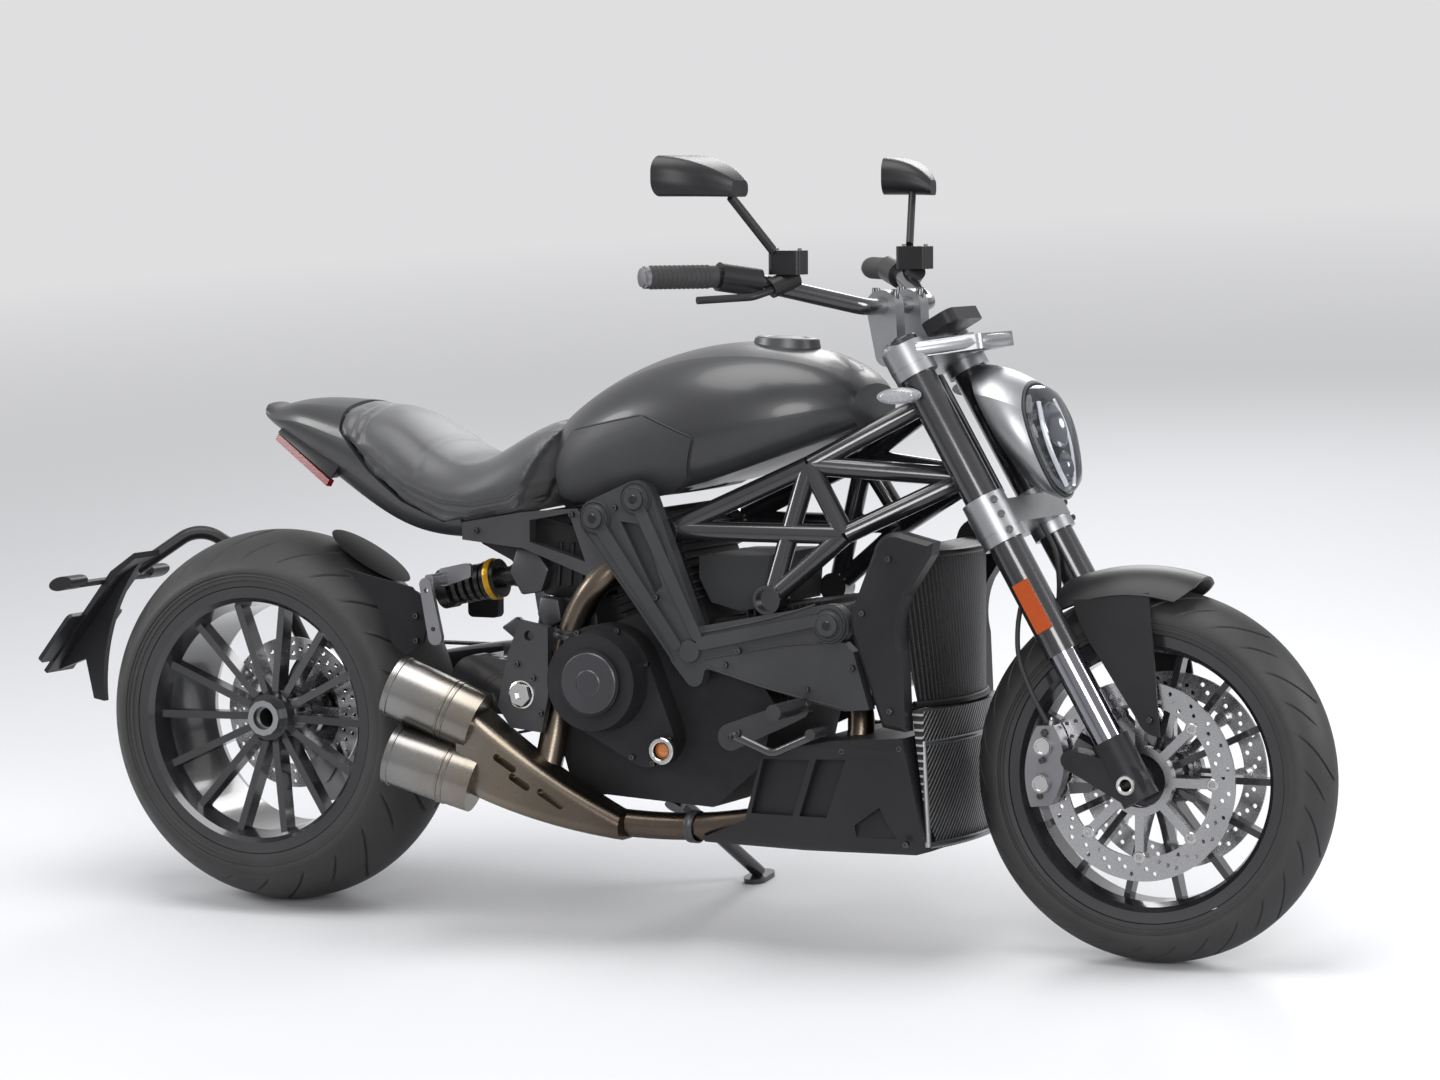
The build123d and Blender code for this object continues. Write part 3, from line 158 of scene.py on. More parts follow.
def finish(name, colour, rough, metal=0.0, drift=0.25, grain=400, bump=0.05, coat=0.0,
           stretch=(1, 1, 1), sheen=0.0, shine=0.5):
    surface = bpy.data.materials.new(name)
    surface.use_nodes = True
    nodes = surface.node_tree.nodes
    links = surface.node_tree.links
    shader = nodes["Principled BSDF"]
    shader.inputs["Metallic"].default_value = metal
    shader.inputs["Coat Weight"].default_value = coat
    shader.inputs["Coat Roughness"].default_value = COAT_ROUGH
    shader.inputs["Sheen Weight"].default_value = sheen
    shader.inputs["Specular IOR Level"].default_value = shine
    place = nodes.new("ShaderNodeTexCoord")
    turn = nodes.new("ShaderNodeMapping")
    turn.inputs["Scale"].default_value = stretch
    links.new(place.outputs["Object"], turn.inputs["Vector"])
    broad = nodes.new("ShaderNodeTexNoise")
    broad.inputs["Scale"].default_value = BROAD_DRIFT
    broad.inputs["Detail"].default_value = 6
    tones = nodes.new("ShaderNodeValToRGB")
    tones.color_ramp.elements[0].position = 0.3
    tones.color_ramp.elements[1].position = 0.7
    tones.color_ramp.elements[0].color = (*(c * (1 - drift) for c in colour), 1)
    tones.color_ramp.elements[1].color = (*(min(1, c * (1 + drift)) for c in colour), 1)
    links.new(place.outputs["Object"], broad.inputs["Vector"])
    links.new(broad.outputs["Fac"], tones.inputs["Fac"])
    links.new(tones.outputs["Color"], shader.inputs["Base Color"])
    fine = nodes.new("ShaderNodeTexNoise")
    fine.inputs["Scale"].default_value = grain
    fine.inputs["Detail"].default_value = 4
    links.new(turn.outputs["Vector"], fine.inputs["Vector"])
    patchy = nodes.new("ShaderNodeMapRange")
    patchy.inputs["To Min"].default_value = max(0.03, rough - ROUGH_SPREAD)
    patchy.inputs["To Max"].default_value = min(1.0, rough + ROUGH_SPREAD)
    links.new(fine.outputs["Fac"], patchy.inputs["Value"])
    links.new(patchy.outputs["Result"], shader.inputs["Roughness"])
    relief = nodes.new("ShaderNodeBump")
    relief.inputs["Strength"].default_value = bump
    relief.inputs["Distance"].default_value = PEEL_DEPTH
    links.new(fine.outputs["Fac"], relief.inputs["Height"])
    links.new(relief.outputs["Normal"], shader.inputs["Normal"])
    return surface


def dress(surface, *names):
    for name in names:
        for holder in frame["nodes"][name].material_slots:
            holder.material = surface


gloss_black = finish("gloss_black_coat", (0.014, 0.014, 0.016), 0.22, coat=0.6, grain=700, bump=0.03)
dress(gloss_black, "rear_rim", "front_rim")


# Tyres: a wide carcass with swept sipes, turned round the axle. Its rings are sheared along the
# sipe's sweep, and two neighbouring rings sink to cut each sipe; every other sipe stops short of
# the crown. The walls carry the mould's fine ridges. Wall columns are y and radius.
SIPE_DEPTH, CROWN_DROP, SHOULDER = 0.005, 0.045, 0.92
LONG_SIPE_FROM, SHORT_SIPE_FROM, SWEEP_POWER = 0.14, 0.55, 1.6
SIPE_STEPS = (0, 0.025, 0.085, 0.11) + tuple(0.11 + 0.89 * k / 9 for k in range(1, 9))


def spun_tyre(name, hub, crown, arc_r, walls, sweep, sipes, body, node):
    edge, wide = walls[0][0], walls[2][0]
    half = [(0.0, crown)]
    for k in range(1, 15):
        y = edge * k / 15
        half.append((y, crown - arc_r + math.sqrt(arc_r ** 2 - y ** 2)))
    half += walls
    line = [(-y, r) for y, r in half[::-1]] + half[1:]
    shape = bmesh.new()
    rings = []
    for sipe in range(sipes):
        inner = SHORT_SIPE_FROM if sipe % 2 else LONG_SIPE_FROM
        for index, part in enumerate(SIPE_STEPS):
            ring = []
            for y, r in line:
                shear = sweep * (abs(y) / wide) ** SWEEP_POWER
                angle = 2 * math.pi * (sipe + part) / sipes + shear
                on_tread = inner * wide < abs(y) < SHOULDER * wide and r > crown - CROWN_DROP
                radius = r - (SIPE_DEPTH if index in (1, 2) and on_tread else 0)
                ring.append(shape.verts.new((radius * math.cos(angle), y, radius * math.sin(angle))))
            rings.append(ring)
    for ring, after in zip(rings, rings[1:] + rings[:1]):
        for k in range(len(line) - 1):
            shape.faces.new((ring[k], after[k], after[k + 1], ring[k + 1]))
        shape.faces.new((ring[-1], after[-1], after[0], ring[0]))
    bmesh.ops.recalc_face_normals(shape, faces=shape.faces)
    home = bike.copy()
    home.translation = hub
    bmesh.ops.transform(shape, matrix=home, verts=shape.verts)
    mesh = bpy.data.meshes.new(name)
    shape.to_mesh(mesh)
    shape.free()
    mesh.shade_smooth()
    mesh.set_sharp_from_angle(angle=math.radians(38))
    tyre = bpy.data.objects.new(name, mesh)
    bpy.context.scene.collection.objects.link(tyre)
    mesh.materials.append(rubber)
    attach(tyre, body)
    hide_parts(node)


rubber = finish("tyre_rubber", (0.016, 0.016, 0.0165), 0.60, drift=0.35, grain=260, bump=0.35)
rear_walls = [
    (0.110, 0.2758), (0.1165, 0.2680), (0.1195, 0.2610), (0.1190, 0.2555), (0.1172, 0.2545),
    (0.1180, 0.2505), (0.1163, 0.2495), (0.1165, 0.2430), (0.1148, 0.2420), (0.1140, 0.2323),
    (0.1040, 0.2323), (0.1040, 0.2460),
]
front_walls = [
    (0.0560, 0.2678), (0.0590, 0.2600), (0.0598, 0.2530), (0.0592, 0.2495), (0.0578, 0.2488),
    (0.0582, 0.2455), (0.0570, 0.2448), (0.0570, 0.2405), (0.0556, 0.2395), (0.0540, 0.2323),
    (0.0460, 0.2323), (0.0460, 0.2460),
]
REAR_CROWN, REAR_ARC, REAR_SWEEP, REAR_SIPES = 0.3238, 0.15004, 0.40, 24
FRONT_CROWN, FRONT_ARC, FRONT_SWEEP, FRONT_SIPES = 0.2998, 0.0650, 0.34, 30
spun_tyre("rear_tyre_treaded", rear_hub, REAR_CROWN, REAR_ARC, rear_walls, REAR_SWEEP, REAR_SIPES,
          "rear_wheel", "rear_tyre")
spun_tyre("front_tyre_treaded", front_hub, FRONT_CROWN, FRONT_ARC, front_walls, FRONT_SWEEP, FRONT_SIPES,
          "front_wheel", "front_tyre")


# Painted tubes and castings: the trellis, swingarm, bars and fork uppers are gloss black over steel
# and alloy. The same coat is on the side stand and the footrest brackets.
dress(gloss_black, "trellis_frame", "swingarm", "handlebar", "fork_tubes", "side_stand", "controls")

# Tank and tail: the tank is pressed steel and the tail a moulding. Both have matt dark grey paint
# with a soft satin sheen.
matt_grey = finish("matt_grey_paint", (0.020, 0.0205, 0.022), 0.36, drift=0.10, grain=900, bump=0.04,
                   coat=0.15)
dress(matt_grey, "fuel_tank", "tail_unit")

# Tank side panels, belt covers and airbox: injection moulded grey plastic with a fine grain, clipped
# and screwed to the tank and the engine.
MOULD_SHINE = 0.28
grey_mould = finish("grey_moulding", (0.036, 0.0365, 0.039), 0.46, drift=0.10, grain=1400, bump=0.10,
                    shine=MOULD_SHINE)
cover_mould = finish("cover_moulding", (0.034, 0.0345, 0.037), 0.45, drift=0.14, grain=1200, bump=0.14,
                     shine=MOULD_SHINE)
dress(grey_mould, "tank_side_panels")
dress(cover_mould, "belt_covers", "airbox")

# Fairings and small housings: black plastic, satin from the mould and a little paler at the grain.
# The rear hugger is duller, as its upper face lies open to the light.
black_mould = finish("black_moulding", (0.011, 0.011, 0.012), 0.40, grain=1300, bump=0.12, shine=MOULD_SHINE)
dress(black_mould, "radiator_shrouds", "belly_pan", "plate_holder", "front_fender")
dress(black_mould, "hand_controls", "dash", "mirrors")
dull_mould = finish("dull_moulding", (0.009, 0.009, 0.010), 0.68, grain=1300, bump=0.12, shine=0.16)
dress(dull_mould, "rear_hugger")

# Engine castings: sand cast aluminium under dark grey paint, rougher than the fairings. The fork
# feet are cast the same way.
cast_grey = finish("cast_engine", (0.016, 0.016, 0.0175), 0.50, metal=0.4, drift=0.35, grain=520, bump=0.45,
                   shine=MOULD_SHINE)
dress(cast_grey, "engine_block", "clutch_cover", "alternator_cover", "fork_feet")

# Machined and anodised alloy: yokes, headlamp cowl and belt wheel are satin silver, the calipers and
# hangers a duller grey, and the fuel cap and frame plates dark.
satin_alloy = finish("satin_alloy", (0.31, 0.315, 0.325), 0.38, metal=1.0, drift=0.10, grain=700, bump=0.06)
dress(satin_alloy, "upper_yoke", "lower_yoke", "headlamp_shell", "rear_pulley")
dark_alloy = finish("dark_alloy", (0.090, 0.091, 0.095), 0.42, metal=1.0, drift=0.10, grain=700, bump=0.06)
dress(dark_alloy, "fuel_cap")
anodised = finish("anodised_alloy", (0.22, 0.22, 0.23), 0.36, metal=0.9, drift=0.18, grain=600, bump=0.16)
dress(anodised, "front_calipers", "rear_caliper", "passenger_hangers")
plate_alloy = finish("plate_alloy", (0.060, 0.060, 0.064), 0.40, metal=0.7, drift=0.15, grain=500, bump=0.20)
dress(plate_alloy, "frame_plates")

# Fork stanchions, front axle and shock body: hard chromed steel, turned steel, and steel under black
# lacquer.
dark_chrome = finish("dark_chrome", (0.22, 0.22, 0.24), 0.10, metal=1.0, drift=0.06, grain=300, bump=0.01)
bright_steel = finish("bright_steel", (0.58, 0.57, 0.56), 0.22, metal=1.0, drift=0.12, grain=800, bump=0.05)
lacquered = finish("black_lacquer", (0.012, 0.012, 0.013), 0.28, metal=0.3, drift=0.30, grain=500, bump=0.06)
dress(dark_chrome, "fork_stanchions")
dress(bright_steel, "front_axle")
dress(lacquered, "shock_absorber")

# Belt, brake hoses and grips: moulded rubber, dull and dusty in the grain. The hoses end in the
# lower yoke and the calipers.
soft_rubber = finish("soft_rubber", (0.020, 0.020, 0.021), 0.66, drift=0.30, grain=600, bump=0.30)
dress(soft_rubber, "drive_belt", "brake_hoses", "grips")

# Silencers: brushed stainless along their length, with a brown heat tint on the collector in front.
# The brush is a noise stretched along the machine; the tint is a ramp on the distance forward.
HEAT_FROM, HEAT_TO = 0.38, 0.74
stainless = finish("brushed_stainless", (0.23, 0.225, 0.22), 0.30, metal=1.0, drift=0.14, grain=260,
                   bump=0.10, stretch=(0.12, 3, 3))
nodes = stainless.node_tree.nodes
links = stainless.node_tree.links
place = nodes.new("ShaderNodeTexCoord")
split = nodes.new("ShaderNodeSeparateXYZ")
front_way = nodes.new("ShaderNodeMapRange")
front_way.inputs["From Min"].default_value = HEAT_FROM + ground.x
front_way.inputs["From Max"].default_value = HEAT_TO + ground.x
tint = nodes.new("ShaderNodeValToRGB")
tint.color_ramp.elements[0].color = (1, 1, 1, 1)
tint.color_ramp.elements[1].color = (0.30, 0.22, 0.16, 1)
straw = tint.color_ramp.elements.new(0.45)
straw.color = (0.78, 0.66, 0.50, 1)
stain = nodes.new("ShaderNodeMix")
stain.data_type = "RGBA"
stain.blend_type = "MULTIPLY"
stain.inputs["Factor"].default_value = 0.9
base = nodes["Principled BSDF"].inputs["Base Color"]
metal_tone = base.links[0].from_socket
links.new(place.outputs["Object"], split.inputs["Vector"])
links.new(split.outputs["X"], front_way.inputs["Value"])
links.new(front_way.outputs["Result"], tint.inputs["Fac"])
links.new(metal_tone, stain.inputs[6])
links.new(tint.outputs["Color"], stain.inputs[7])
links.new(stain.outputs[2], base)
dress(stainless, "exhaust_system")


# Brake discs: stainless steel, drilled and floating, turned in fine rings round the axle. The rings
# are a wave on the distance from the axle, which leans with the machine.
RINGS_PER_METRE, RING_DEPTH = 130, 0.0003


def ringed(name, hub, colour, rough):
    surface = finish(name, colour, rough, metal=1.0, drift=0.08, grain=500, bump=0.02)
    nodes = surface.node_tree.nodes
    links = surface.node_tree.links
    place = nodes.new("ShaderNodeTexCoord")
    offset = nodes.new("ShaderNodeVectorMath")
    offset.operation = "SUBTRACT"
    offset.inputs[1].default_value = hub
    turned = nodes.new("ShaderNodeVectorRotate")
    turned.rotation_type = "X_AXIS"
    turned.inputs["Angle"].default_value = -math.atan2(left.z, left.y)
    rings = nodes.new("ShaderNodeTexWave")
    rings.wave_type = "RINGS"
    rings.rings_direction = "Y"
    rings.inputs["Scale"].default_value = RINGS_PER_METRE
    rings.inputs["Distortion"].default_value = 0.4
    relief = nodes.new("ShaderNodeBump")
    relief.inputs["Strength"].default_value = 0.06
    relief.inputs["Distance"].default_value = RING_DEPTH
    links.new(place.outputs["Object"], offset.inputs[0])
    links.new(offset.outputs["Vector"], turned.inputs["Vector"])
    links.new(turned.outputs["Vector"], rings.inputs["Vector"])
    links.new(rings.outputs["Fac"], relief.inputs["Height"])
    links.new(relief.outputs["Normal"], nodes["Principled BSDF"].inputs["Normal"])
    return surface


disc_colour, disc_rough = (0.42, 0.42, 0.43), 0.26
dress(ringed("front_disc_steel", front_hub, disc_colour, disc_rough), "front_discs")
dress(ringed("rear_disc_steel", rear_hub, disc_colour, disc_rough), "rear_disc")


# Radiator core and lower grille: brazed aluminium fins between upright tubes, and a woven wire
# screen. Both are patterns across the machine and up it, with painted shade dark in the gaps.
PAINTED_GAP_SHADE, WIRE_RELIEF, WIRE_EDGE = (0.004, 0.004, 0.004), 0.002, 0.12


def lattice(name, bright, tilt, across, upward, thick):
    surface = finish(name, bright, 0.45, metal=0.7, drift=0.15, grain=500, bump=0.05)
    nodes = surface.node_tree.nodes
    links = surface.node_tree.links
    place = nodes.new("ShaderNodeTexCoord")
    heights = []
    for angle, scale in ((tilt, across), (90 - tilt, upward)):
        turned = nodes.new("ShaderNodeVectorRotate")
        turned.rotation_type = "X_AXIS"
        turned.inputs["Angle"].default_value = math.radians(angle)
        bands = nodes.new("ShaderNodeTexWave")
        bands.bands_direction = "Y"
        bands.inputs["Scale"].default_value = scale
        links.new(place.outputs["Object"], turned.inputs["Vector"])
        links.new(turned.outputs["Vector"], bands.inputs["Vector"])
        heights.append(bands.outputs["Fac"])
    top = nodes.new("ShaderNodeMath")
    top.operation = "MAXIMUM"
    links.new(heights[0], top.inputs[0])
    links.new(heights[1], top.inputs[1])
    wire = nodes.new("ShaderNodeMapRange")
    wire.inputs["From Min"].default_value = thick
    wire.inputs["From Max"].default_value = thick + WIRE_EDGE
    # The near-black between the wires and fins is painted shade, standing where the openings fall dark.
    shade = nodes.new("ShaderNodeMix")
    shade.data_type = "RGBA"
    shade.inputs[6].default_value = (*PAINTED_GAP_SHADE, 1)
    base = nodes["Principled BSDF"].inputs["Base Color"]
    links.new(top.outputs["Value"], wire.inputs["Value"])
    links.new(wire.outputs["Result"], shade.inputs["Factor"])
    links.new(base.links[0].from_socket, shade.inputs[7])
    links.new(shade.outputs[2], base)
    links.new(wire.outputs["Result"], nodes["Principled BSDF"].inputs["Metallic"])
    relief = nodes.new("ShaderNodeBump")
    relief.inputs["Strength"].default_value = 0.8
    relief.inputs["Distance"].default_value = WIRE_RELIEF
    links.new(top.outputs["Value"], relief.inputs["Height"])
    links.new(relief.outputs["Normal"], nodes["Principled BSDF"].inputs["Normal"])
    return surface


dress(lattice("core_fins", (0.040, 0.040, 0.043), 0, 40, 130, 0.72), "radiator")
dress(lattice("wire_screen", (0.42, 0.42, 0.43), 45, 42, 42, 0.74), "mesh_grille")

# Lenses: moulded acrylic, red at the tail, amber on the fork and clear on the front indicators. Each
# has the fine prisms that such lenses carry. Columns end with how much light passes and the glow.
PRISM_SCALE, PRISM_DEPTH = 180, 0.0008
for name, node, colour, through, lamp_glow_and_painted_glint in (
    ("red_lens", "tail_lights", (0.13, 0.001, 0.002), 0.0, 0.03),
    # The amber fork reflectors are no lamps, so their glow is a painted glint; the tail lamps glow as lamps.
    ("amber_lens", "fork_reflectors", (0.36, 0.055, 0.005), 0.10, 0.06),
    ("clear_lens", "front_indicators", (0.46, 0.47, 0.49), 0.45, 0.0),
):
    lens = finish(name, colour, 0.25, drift=0.05, grain=300, bump=0.02, coat=0.15, shine=0.3)
    shader = lens.node_tree.nodes["Principled BSDF"]
    shader.inputs["Transmission Weight"].default_value = through
    shader.inputs["Emission Color"].default_value = (*colour, 1)
    shader.inputs["Emission Strength"].default_value = lamp_glow_and_painted_glint
    prisms = lens.node_tree.nodes.new("ShaderNodeTexVoronoi")
    prisms.distance = "CHEBYCHEV"
    prisms.inputs["Scale"].default_value = PRISM_SCALE
    prisms.inputs["Randomness"].default_value = 0
    where = lens.node_tree.nodes.new("ShaderNodeTexCoord")
    relief = lens.node_tree.nodes.new("ShaderNodeBump")
    relief.inputs["Strength"].default_value = 0.15
    relief.inputs["Distance"].default_value = PRISM_DEPTH
    lens.node_tree.links.new(where.outputs["Object"], prisms.inputs["Vector"])
    lens.node_tree.links.new(prisms.outputs["Distance"], relief.inputs["Height"])
    lens.node_tree.links.new(relief.outputs["Normal"], shader.inputs["Normal"])
    dress(lens, node)


# Screws: socket headed, in zinc plated steel, turned in from the side that they face. Columns are
# the place, the direction of the head, the head's radius and the body that carries it.
RIGHT, LEFT, UPWARD = (0, -1, 0), (0, 1, 0), (0, 0, 1)
SIDES = (-1, 1)
CASE_SCREW, FORK_SCREW, PINCH_SCREW, LID_SCREW, CAP_SCREW = 0.0052, 0.0050, 0.0060, 0.0035, 0.0026
CASE_ANGLES = range(-90, 120, 42)


def lathe(shape, centre, axis, profile, steps=28):
    axis = Vector(axis).normalized()
    side = axis.orthogonal().normalized()
    other = axis.cross(side)
    rings = []
    for k in range(steps):
        turn = 2 * math.pi * k / steps
        out = math.cos(turn) * side + math.sin(turn) * other
        rings.append([shape.verts.new(Vector(centre) + along * axis + r * out) for r, along in profile])
    for ring, after in zip(rings, rings[1:] + rings[:1]):
        for k in range(len(profile) - 1):
            shape.faces.new((ring[k], after[k], after[k + 1], ring[k + 1]))
    bmesh.ops.remove_doubles(shape, verts=[v for ring in rings for v in ring], dist=1e-6)


def settle(name, shape, body, surface, crease=35, standing=""):
    bmesh.ops.recalc_face_normals(shape, faces=shape.faces)
    bmesh.ops.transform(shape, matrix=bike, verts=shape.verts)
    mesh = bpy.data.meshes.new(name)
    shape.to_mesh(mesh)
    shape.free()
    mesh.materials.append(surface)
    mesh.shade_smooth()
    mesh.set_sharp_from_angle(angle=math.radians(crease))
    piece = bpy.data.objects.new(name, mesh)
    bpy.context.scene.collection.objects.link(piece)
    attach(piece, body)
    if standing:
        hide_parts(standing)


def pitch_circle(x, y, z, radius, angles):
    turns = [math.radians(angle) for angle in angles]
    return [(x + radius * math.cos(turn), y, z + radius * math.sin(turn)) for turn in turns]


def screw_head(r):
    return ((0, -0.002), (r, -0.002), (r, 0.8 * r), (0.86 * r, r), (0.5 * r, r), (0.46 * r, 0.35 * r),
            (0, 0.35 * r))


right_screws = pitch_circle(0.717, -0.186, 0.432, 0.088, (20, 70, 120, 165, 210))
right_screws += pitch_circle(0.800, -0.186, 0.340, 0.042, (-130, -75, 0))
right_screws += [
    (0.818, -0.186, 0.572), (0.966, -0.185, 0.490), (0.740, -0.179, 0.716), (1.165, -0.179, 0.470),
    (1.085, -0.179, 0.432), (0.940, -0.179, 0.466), (1.188, -0.192, 0.560), (1.234, -0.192, 0.648),
    (1.236, -0.192, 0.405), (1.150, -0.185, 0.336), (1.250, -0.185, 0.345), (1.255, -0.172, 0.190),
    (0.604, -0.186, 0.372), (0.590, -0.186, 0.430), (0.560, -0.186, 0.452), (0.460, -0.140, 0.668),
    (0.690, -0.140, 0.600), (0.640, -0.140, 0.700), (0.340, -0.135, 0.520), (0.340, -0.135, 0.478),
    (0.960, -0.206, 0.352), (0.975, -0.206, 0.360),
]
screws = [(spot, RIGHT, CASE_SCREW, "chassis") for spot in right_screws]
left_screws = pitch_circle(0.800, 0.186, 0.390, 0.088, CASE_ANGLES)
screws += [(spot, LEFT, CASE_SCREW, "chassis") for spot in left_screws]
for side, way in zip(SIDES, (RIGHT, LEFT)):
    fork = ((1.467, 0.120, 0.330, FORK_SCREW), (1.462, 0.115, 0.272, FORK_SCREW),
            (1.470, 0.115, 0.374, PINCH_SCREW), (1.640, 0.097, 0.400, FORK_SCREW))
    screws += [((x, side * y, z), way, r, "steering") for x, y, z, r in fork]
    screws += [((1.070 + dx, side * 0.252, 1.138), UPWARD, LID_SCREW, "steering") for dx in (-0.002, 0.038)]
for turn in (math.radians(60 * k) for k in range(6)):
    spot = (0.968 + 0.040 * math.cos(turn), 0.040 * math.sin(turn), 0.9870)
    screws.append((spot, UPWARD, CAP_SCREW, "chassis"))
zinc = finish("zinc_plate", (0.10, 0.10, 0.105), 0.28, metal=1.0, drift=0.20, grain=700, bump=0.05)
for body in ("chassis", "steering"):
    shape = bmesh.new()
    for spot, way, r, carrier in screws:
        if carrier == body:
            lathe(shape, spot, way, screw_head(r), 18)
    settle(body + "_screws", shape, body, zinc)


# Clutch and engine trims: a turned light grey disc on the black clutch cover, an amber sight glass
# in its ring, and the bright nut and dust cap on the swingarm pivot.
CLUTCH_FACE, PIVOT_NUT = (0.717, -0.234, 0.432), (0.568, -0.186, 0.402)
SIGHT_GLASS, SIGHT_RING = (0.831, -0.186, 0.322), (0.831, -0.198, 0.322)
clutch_face = ((0, 0.0035), (0.020, 0.0035), (0.022, 0.002), (0.048, 0.002), (0.050, 0.0005),
               (0.0505, -0.002), (0, -0.002))
glass_dome = ((0, 0.008), (0.008, 0.0075), (0.0135, 0.005), (0.0138, 0), (0, 0))
glass_ring = ((0.0142, -0.004), (0.0142, 0.001), (0.016, 0.0025), (0.0205, 0.0025), (0.0222, 0.001),
              (0.0222, -0.004))
pivot_washer = ((0.0235, -0.001), (0.0235, 0.003), (0.021, 0.004))
pivot_cap = ((0, 0.004), (0.008, 0.004), (0.0085, 0.010), (0.0195, 0.010), (0.021, 0.008), (0.021, 0),
             (0, 0))
turned_disc = finish("turned_disc", (0.065, 0.065, 0.07), 0.34, metal=0.8, drift=0.10, grain=700, bump=0.08)
shape = bmesh.new()
lathe(shape, CLUTCH_FACE, RIGHT, clutch_face, 64)
settle("clutch_disc", shape, "chassis", turned_disc)
oil = finish("sight_glass_oil", (0.55, 0.16, 0.02), 0.08, drift=0.30, grain=200, bump=0.02, coat=1.0)
shape = bmesh.new()
lathe(shape, SIGHT_GLASS, RIGHT, glass_dome, 32)
settle("sight_glass", shape, "chassis", oil)
shape = bmesh.new()
lathe(shape, SIGHT_RING, RIGHT, glass_ring, 40)
lathe(shape, PIVOT_NUT, RIGHT, pivot_washer, 32)
lathe(shape, PIVOT_NUT, RIGHT, pivot_cap, 6)
settle("pivot_nut", shape, "chassis", bright_steel)


# Belt covers: each dome has two turned rings, and black rubber beads run in the joints between the
# cover's parts. A bead's points are seen from the side, as forward and up in metres.
def bead(name, runs, radius, body, surface, closed=False, kind="NURBS", roundness=2):
    data = bpy.data.curves.new(name, "CURVE")
    data.dimensions = "3D"
    data.bevel_depth = radius
    data.bevel_resolution = roundness
    data.resolution_u = 6
    for run in runs:
        line = data.splines.new(kind)
        line.points.add(len(run) - 1)
        for point, spot in zip(line.points, run):
            point.co = (*(bike @ Vector(spot)), 1)
        line.order_u = 3
        line.use_endpoint_u = not closed
        line.use_cyclic_u = closed
    data.materials.append(surface)
    piece = bpy.data.objects.new(name, data)
    bpy.context.scene.collection.objects.link(piece)
    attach(piece, body)


DOME_FACE, DOME_NUT_FACE, JOINT_FACE = -0.184, -0.192, -0.1795
RING_SPACE, BEAD_RADIUS = 0.004, 0.0016
dome_nut = ((0, 0.003), (0.006, 0.003), (0.0075, 0.0015), (0.0075, -0.001), (0, -0.001))
shape = bmesh.new()
for x, z, r in ((0.704, 0.699, 0.021), (0.779, 0.732, 0.021), (1.125, 0.538, 0.022)):
    for ring_r, lift in ((r - RING_SPACE, 0.008), (r + RING_SPACE, 0.001)):
        ridge = ((ring_r - 0.0012, 0), (ring_r - 0.0010, lift), (ring_r + 0.0010, lift),
                 (ring_r + 0.0012, 0))
        lathe(shape, (x, DOME_FACE, z), RIGHT, ridge, 40)
    lathe(shape, (x, DOME_NUT_FACE, z), RIGHT, dome_nut, 24)
settle("dome_rings", shape, "chassis", lacquered)
joints_seen = (
    ((0.676, 0.686), (0.742, 0.600), (0.812, 0.520), (0.846, 0.470)),
    ((0.812, 0.722), (0.846, 0.610), (0.880, 0.540), (0.898, 0.518)),
    ((0.898, 0.517), (0.990, 0.536), (1.060, 0.556), (1.100, 0.570)),
    ((0.900, 0.474), (0.990, 0.492), (1.060, 0.506), (1.110, 0.508)),
    ((0.905, 0.462), (0.990, 0.436), (1.075, 0.418), (1.150, 0.404)),
)
cover_joints = [[(x, JOINT_FACE, z) for x, z in run] for run in joints_seen]
bead("cover_beads", cover_joints, BEAD_RADIUS, "chassis", soft_rubber)


# Silencers: rolled seams round both cans, a welded rim at each outlet and the black liners inside.
# Each can runs from the collector back and out to its own outlet.
CAN_RADIUS, CAN_FRONT, CAN_REAR = 0.0520, (0.492, -0.197), (0.348, -0.224)
LINER_SET_BACK = 0.004
seam_ridge = ((CAN_RADIUS, -0.0022), (CAN_RADIUS + 0.0016, -0.001), (CAN_RADIUS + 0.0016, 0.001),
              (CAN_RADIUS, 0.0022))
outlet_rim = ((0.0462, -0.001), (0.0468, 0.0012), (0.0500, 0.0022), (0.0524, 0.0010), (0.0524, -0.002))
liner_wall = ((0.0455, 0), (0.0455, -0.062), (0.018, -0.063), (0.018, -0.040), (0.0175, -0.040),
              (0.0165, -0.064), (0, -0.066))
shape = bmesh.new()
liner = bmesh.new()
for z, tip_z, out in ((0.352, 0.412, 0.0), (0.254, 0.298, -0.006)):
    front_end = Vector((CAN_FRONT[0], CAN_FRONT[1] + out, z))
    rear_end = Vector((CAN_REAR[0], CAN_REAR[1] + out, tip_z))
    way = (rear_end - front_end).normalized()
    for share in (0.30, 0.36, 0.95):
        lathe(shape, front_end.lerp(rear_end, share), way, seam_ridge, 56)
    lathe(shape, rear_end, way, outlet_rim, 56)
    lathe(liner, rear_end - LINER_SET_BACK * way, way, liner_wall, 40)
settle("silencer_rims", shape, "chassis", stainless)
settle("silencer_liners", liner, "chassis", soft_rubber)


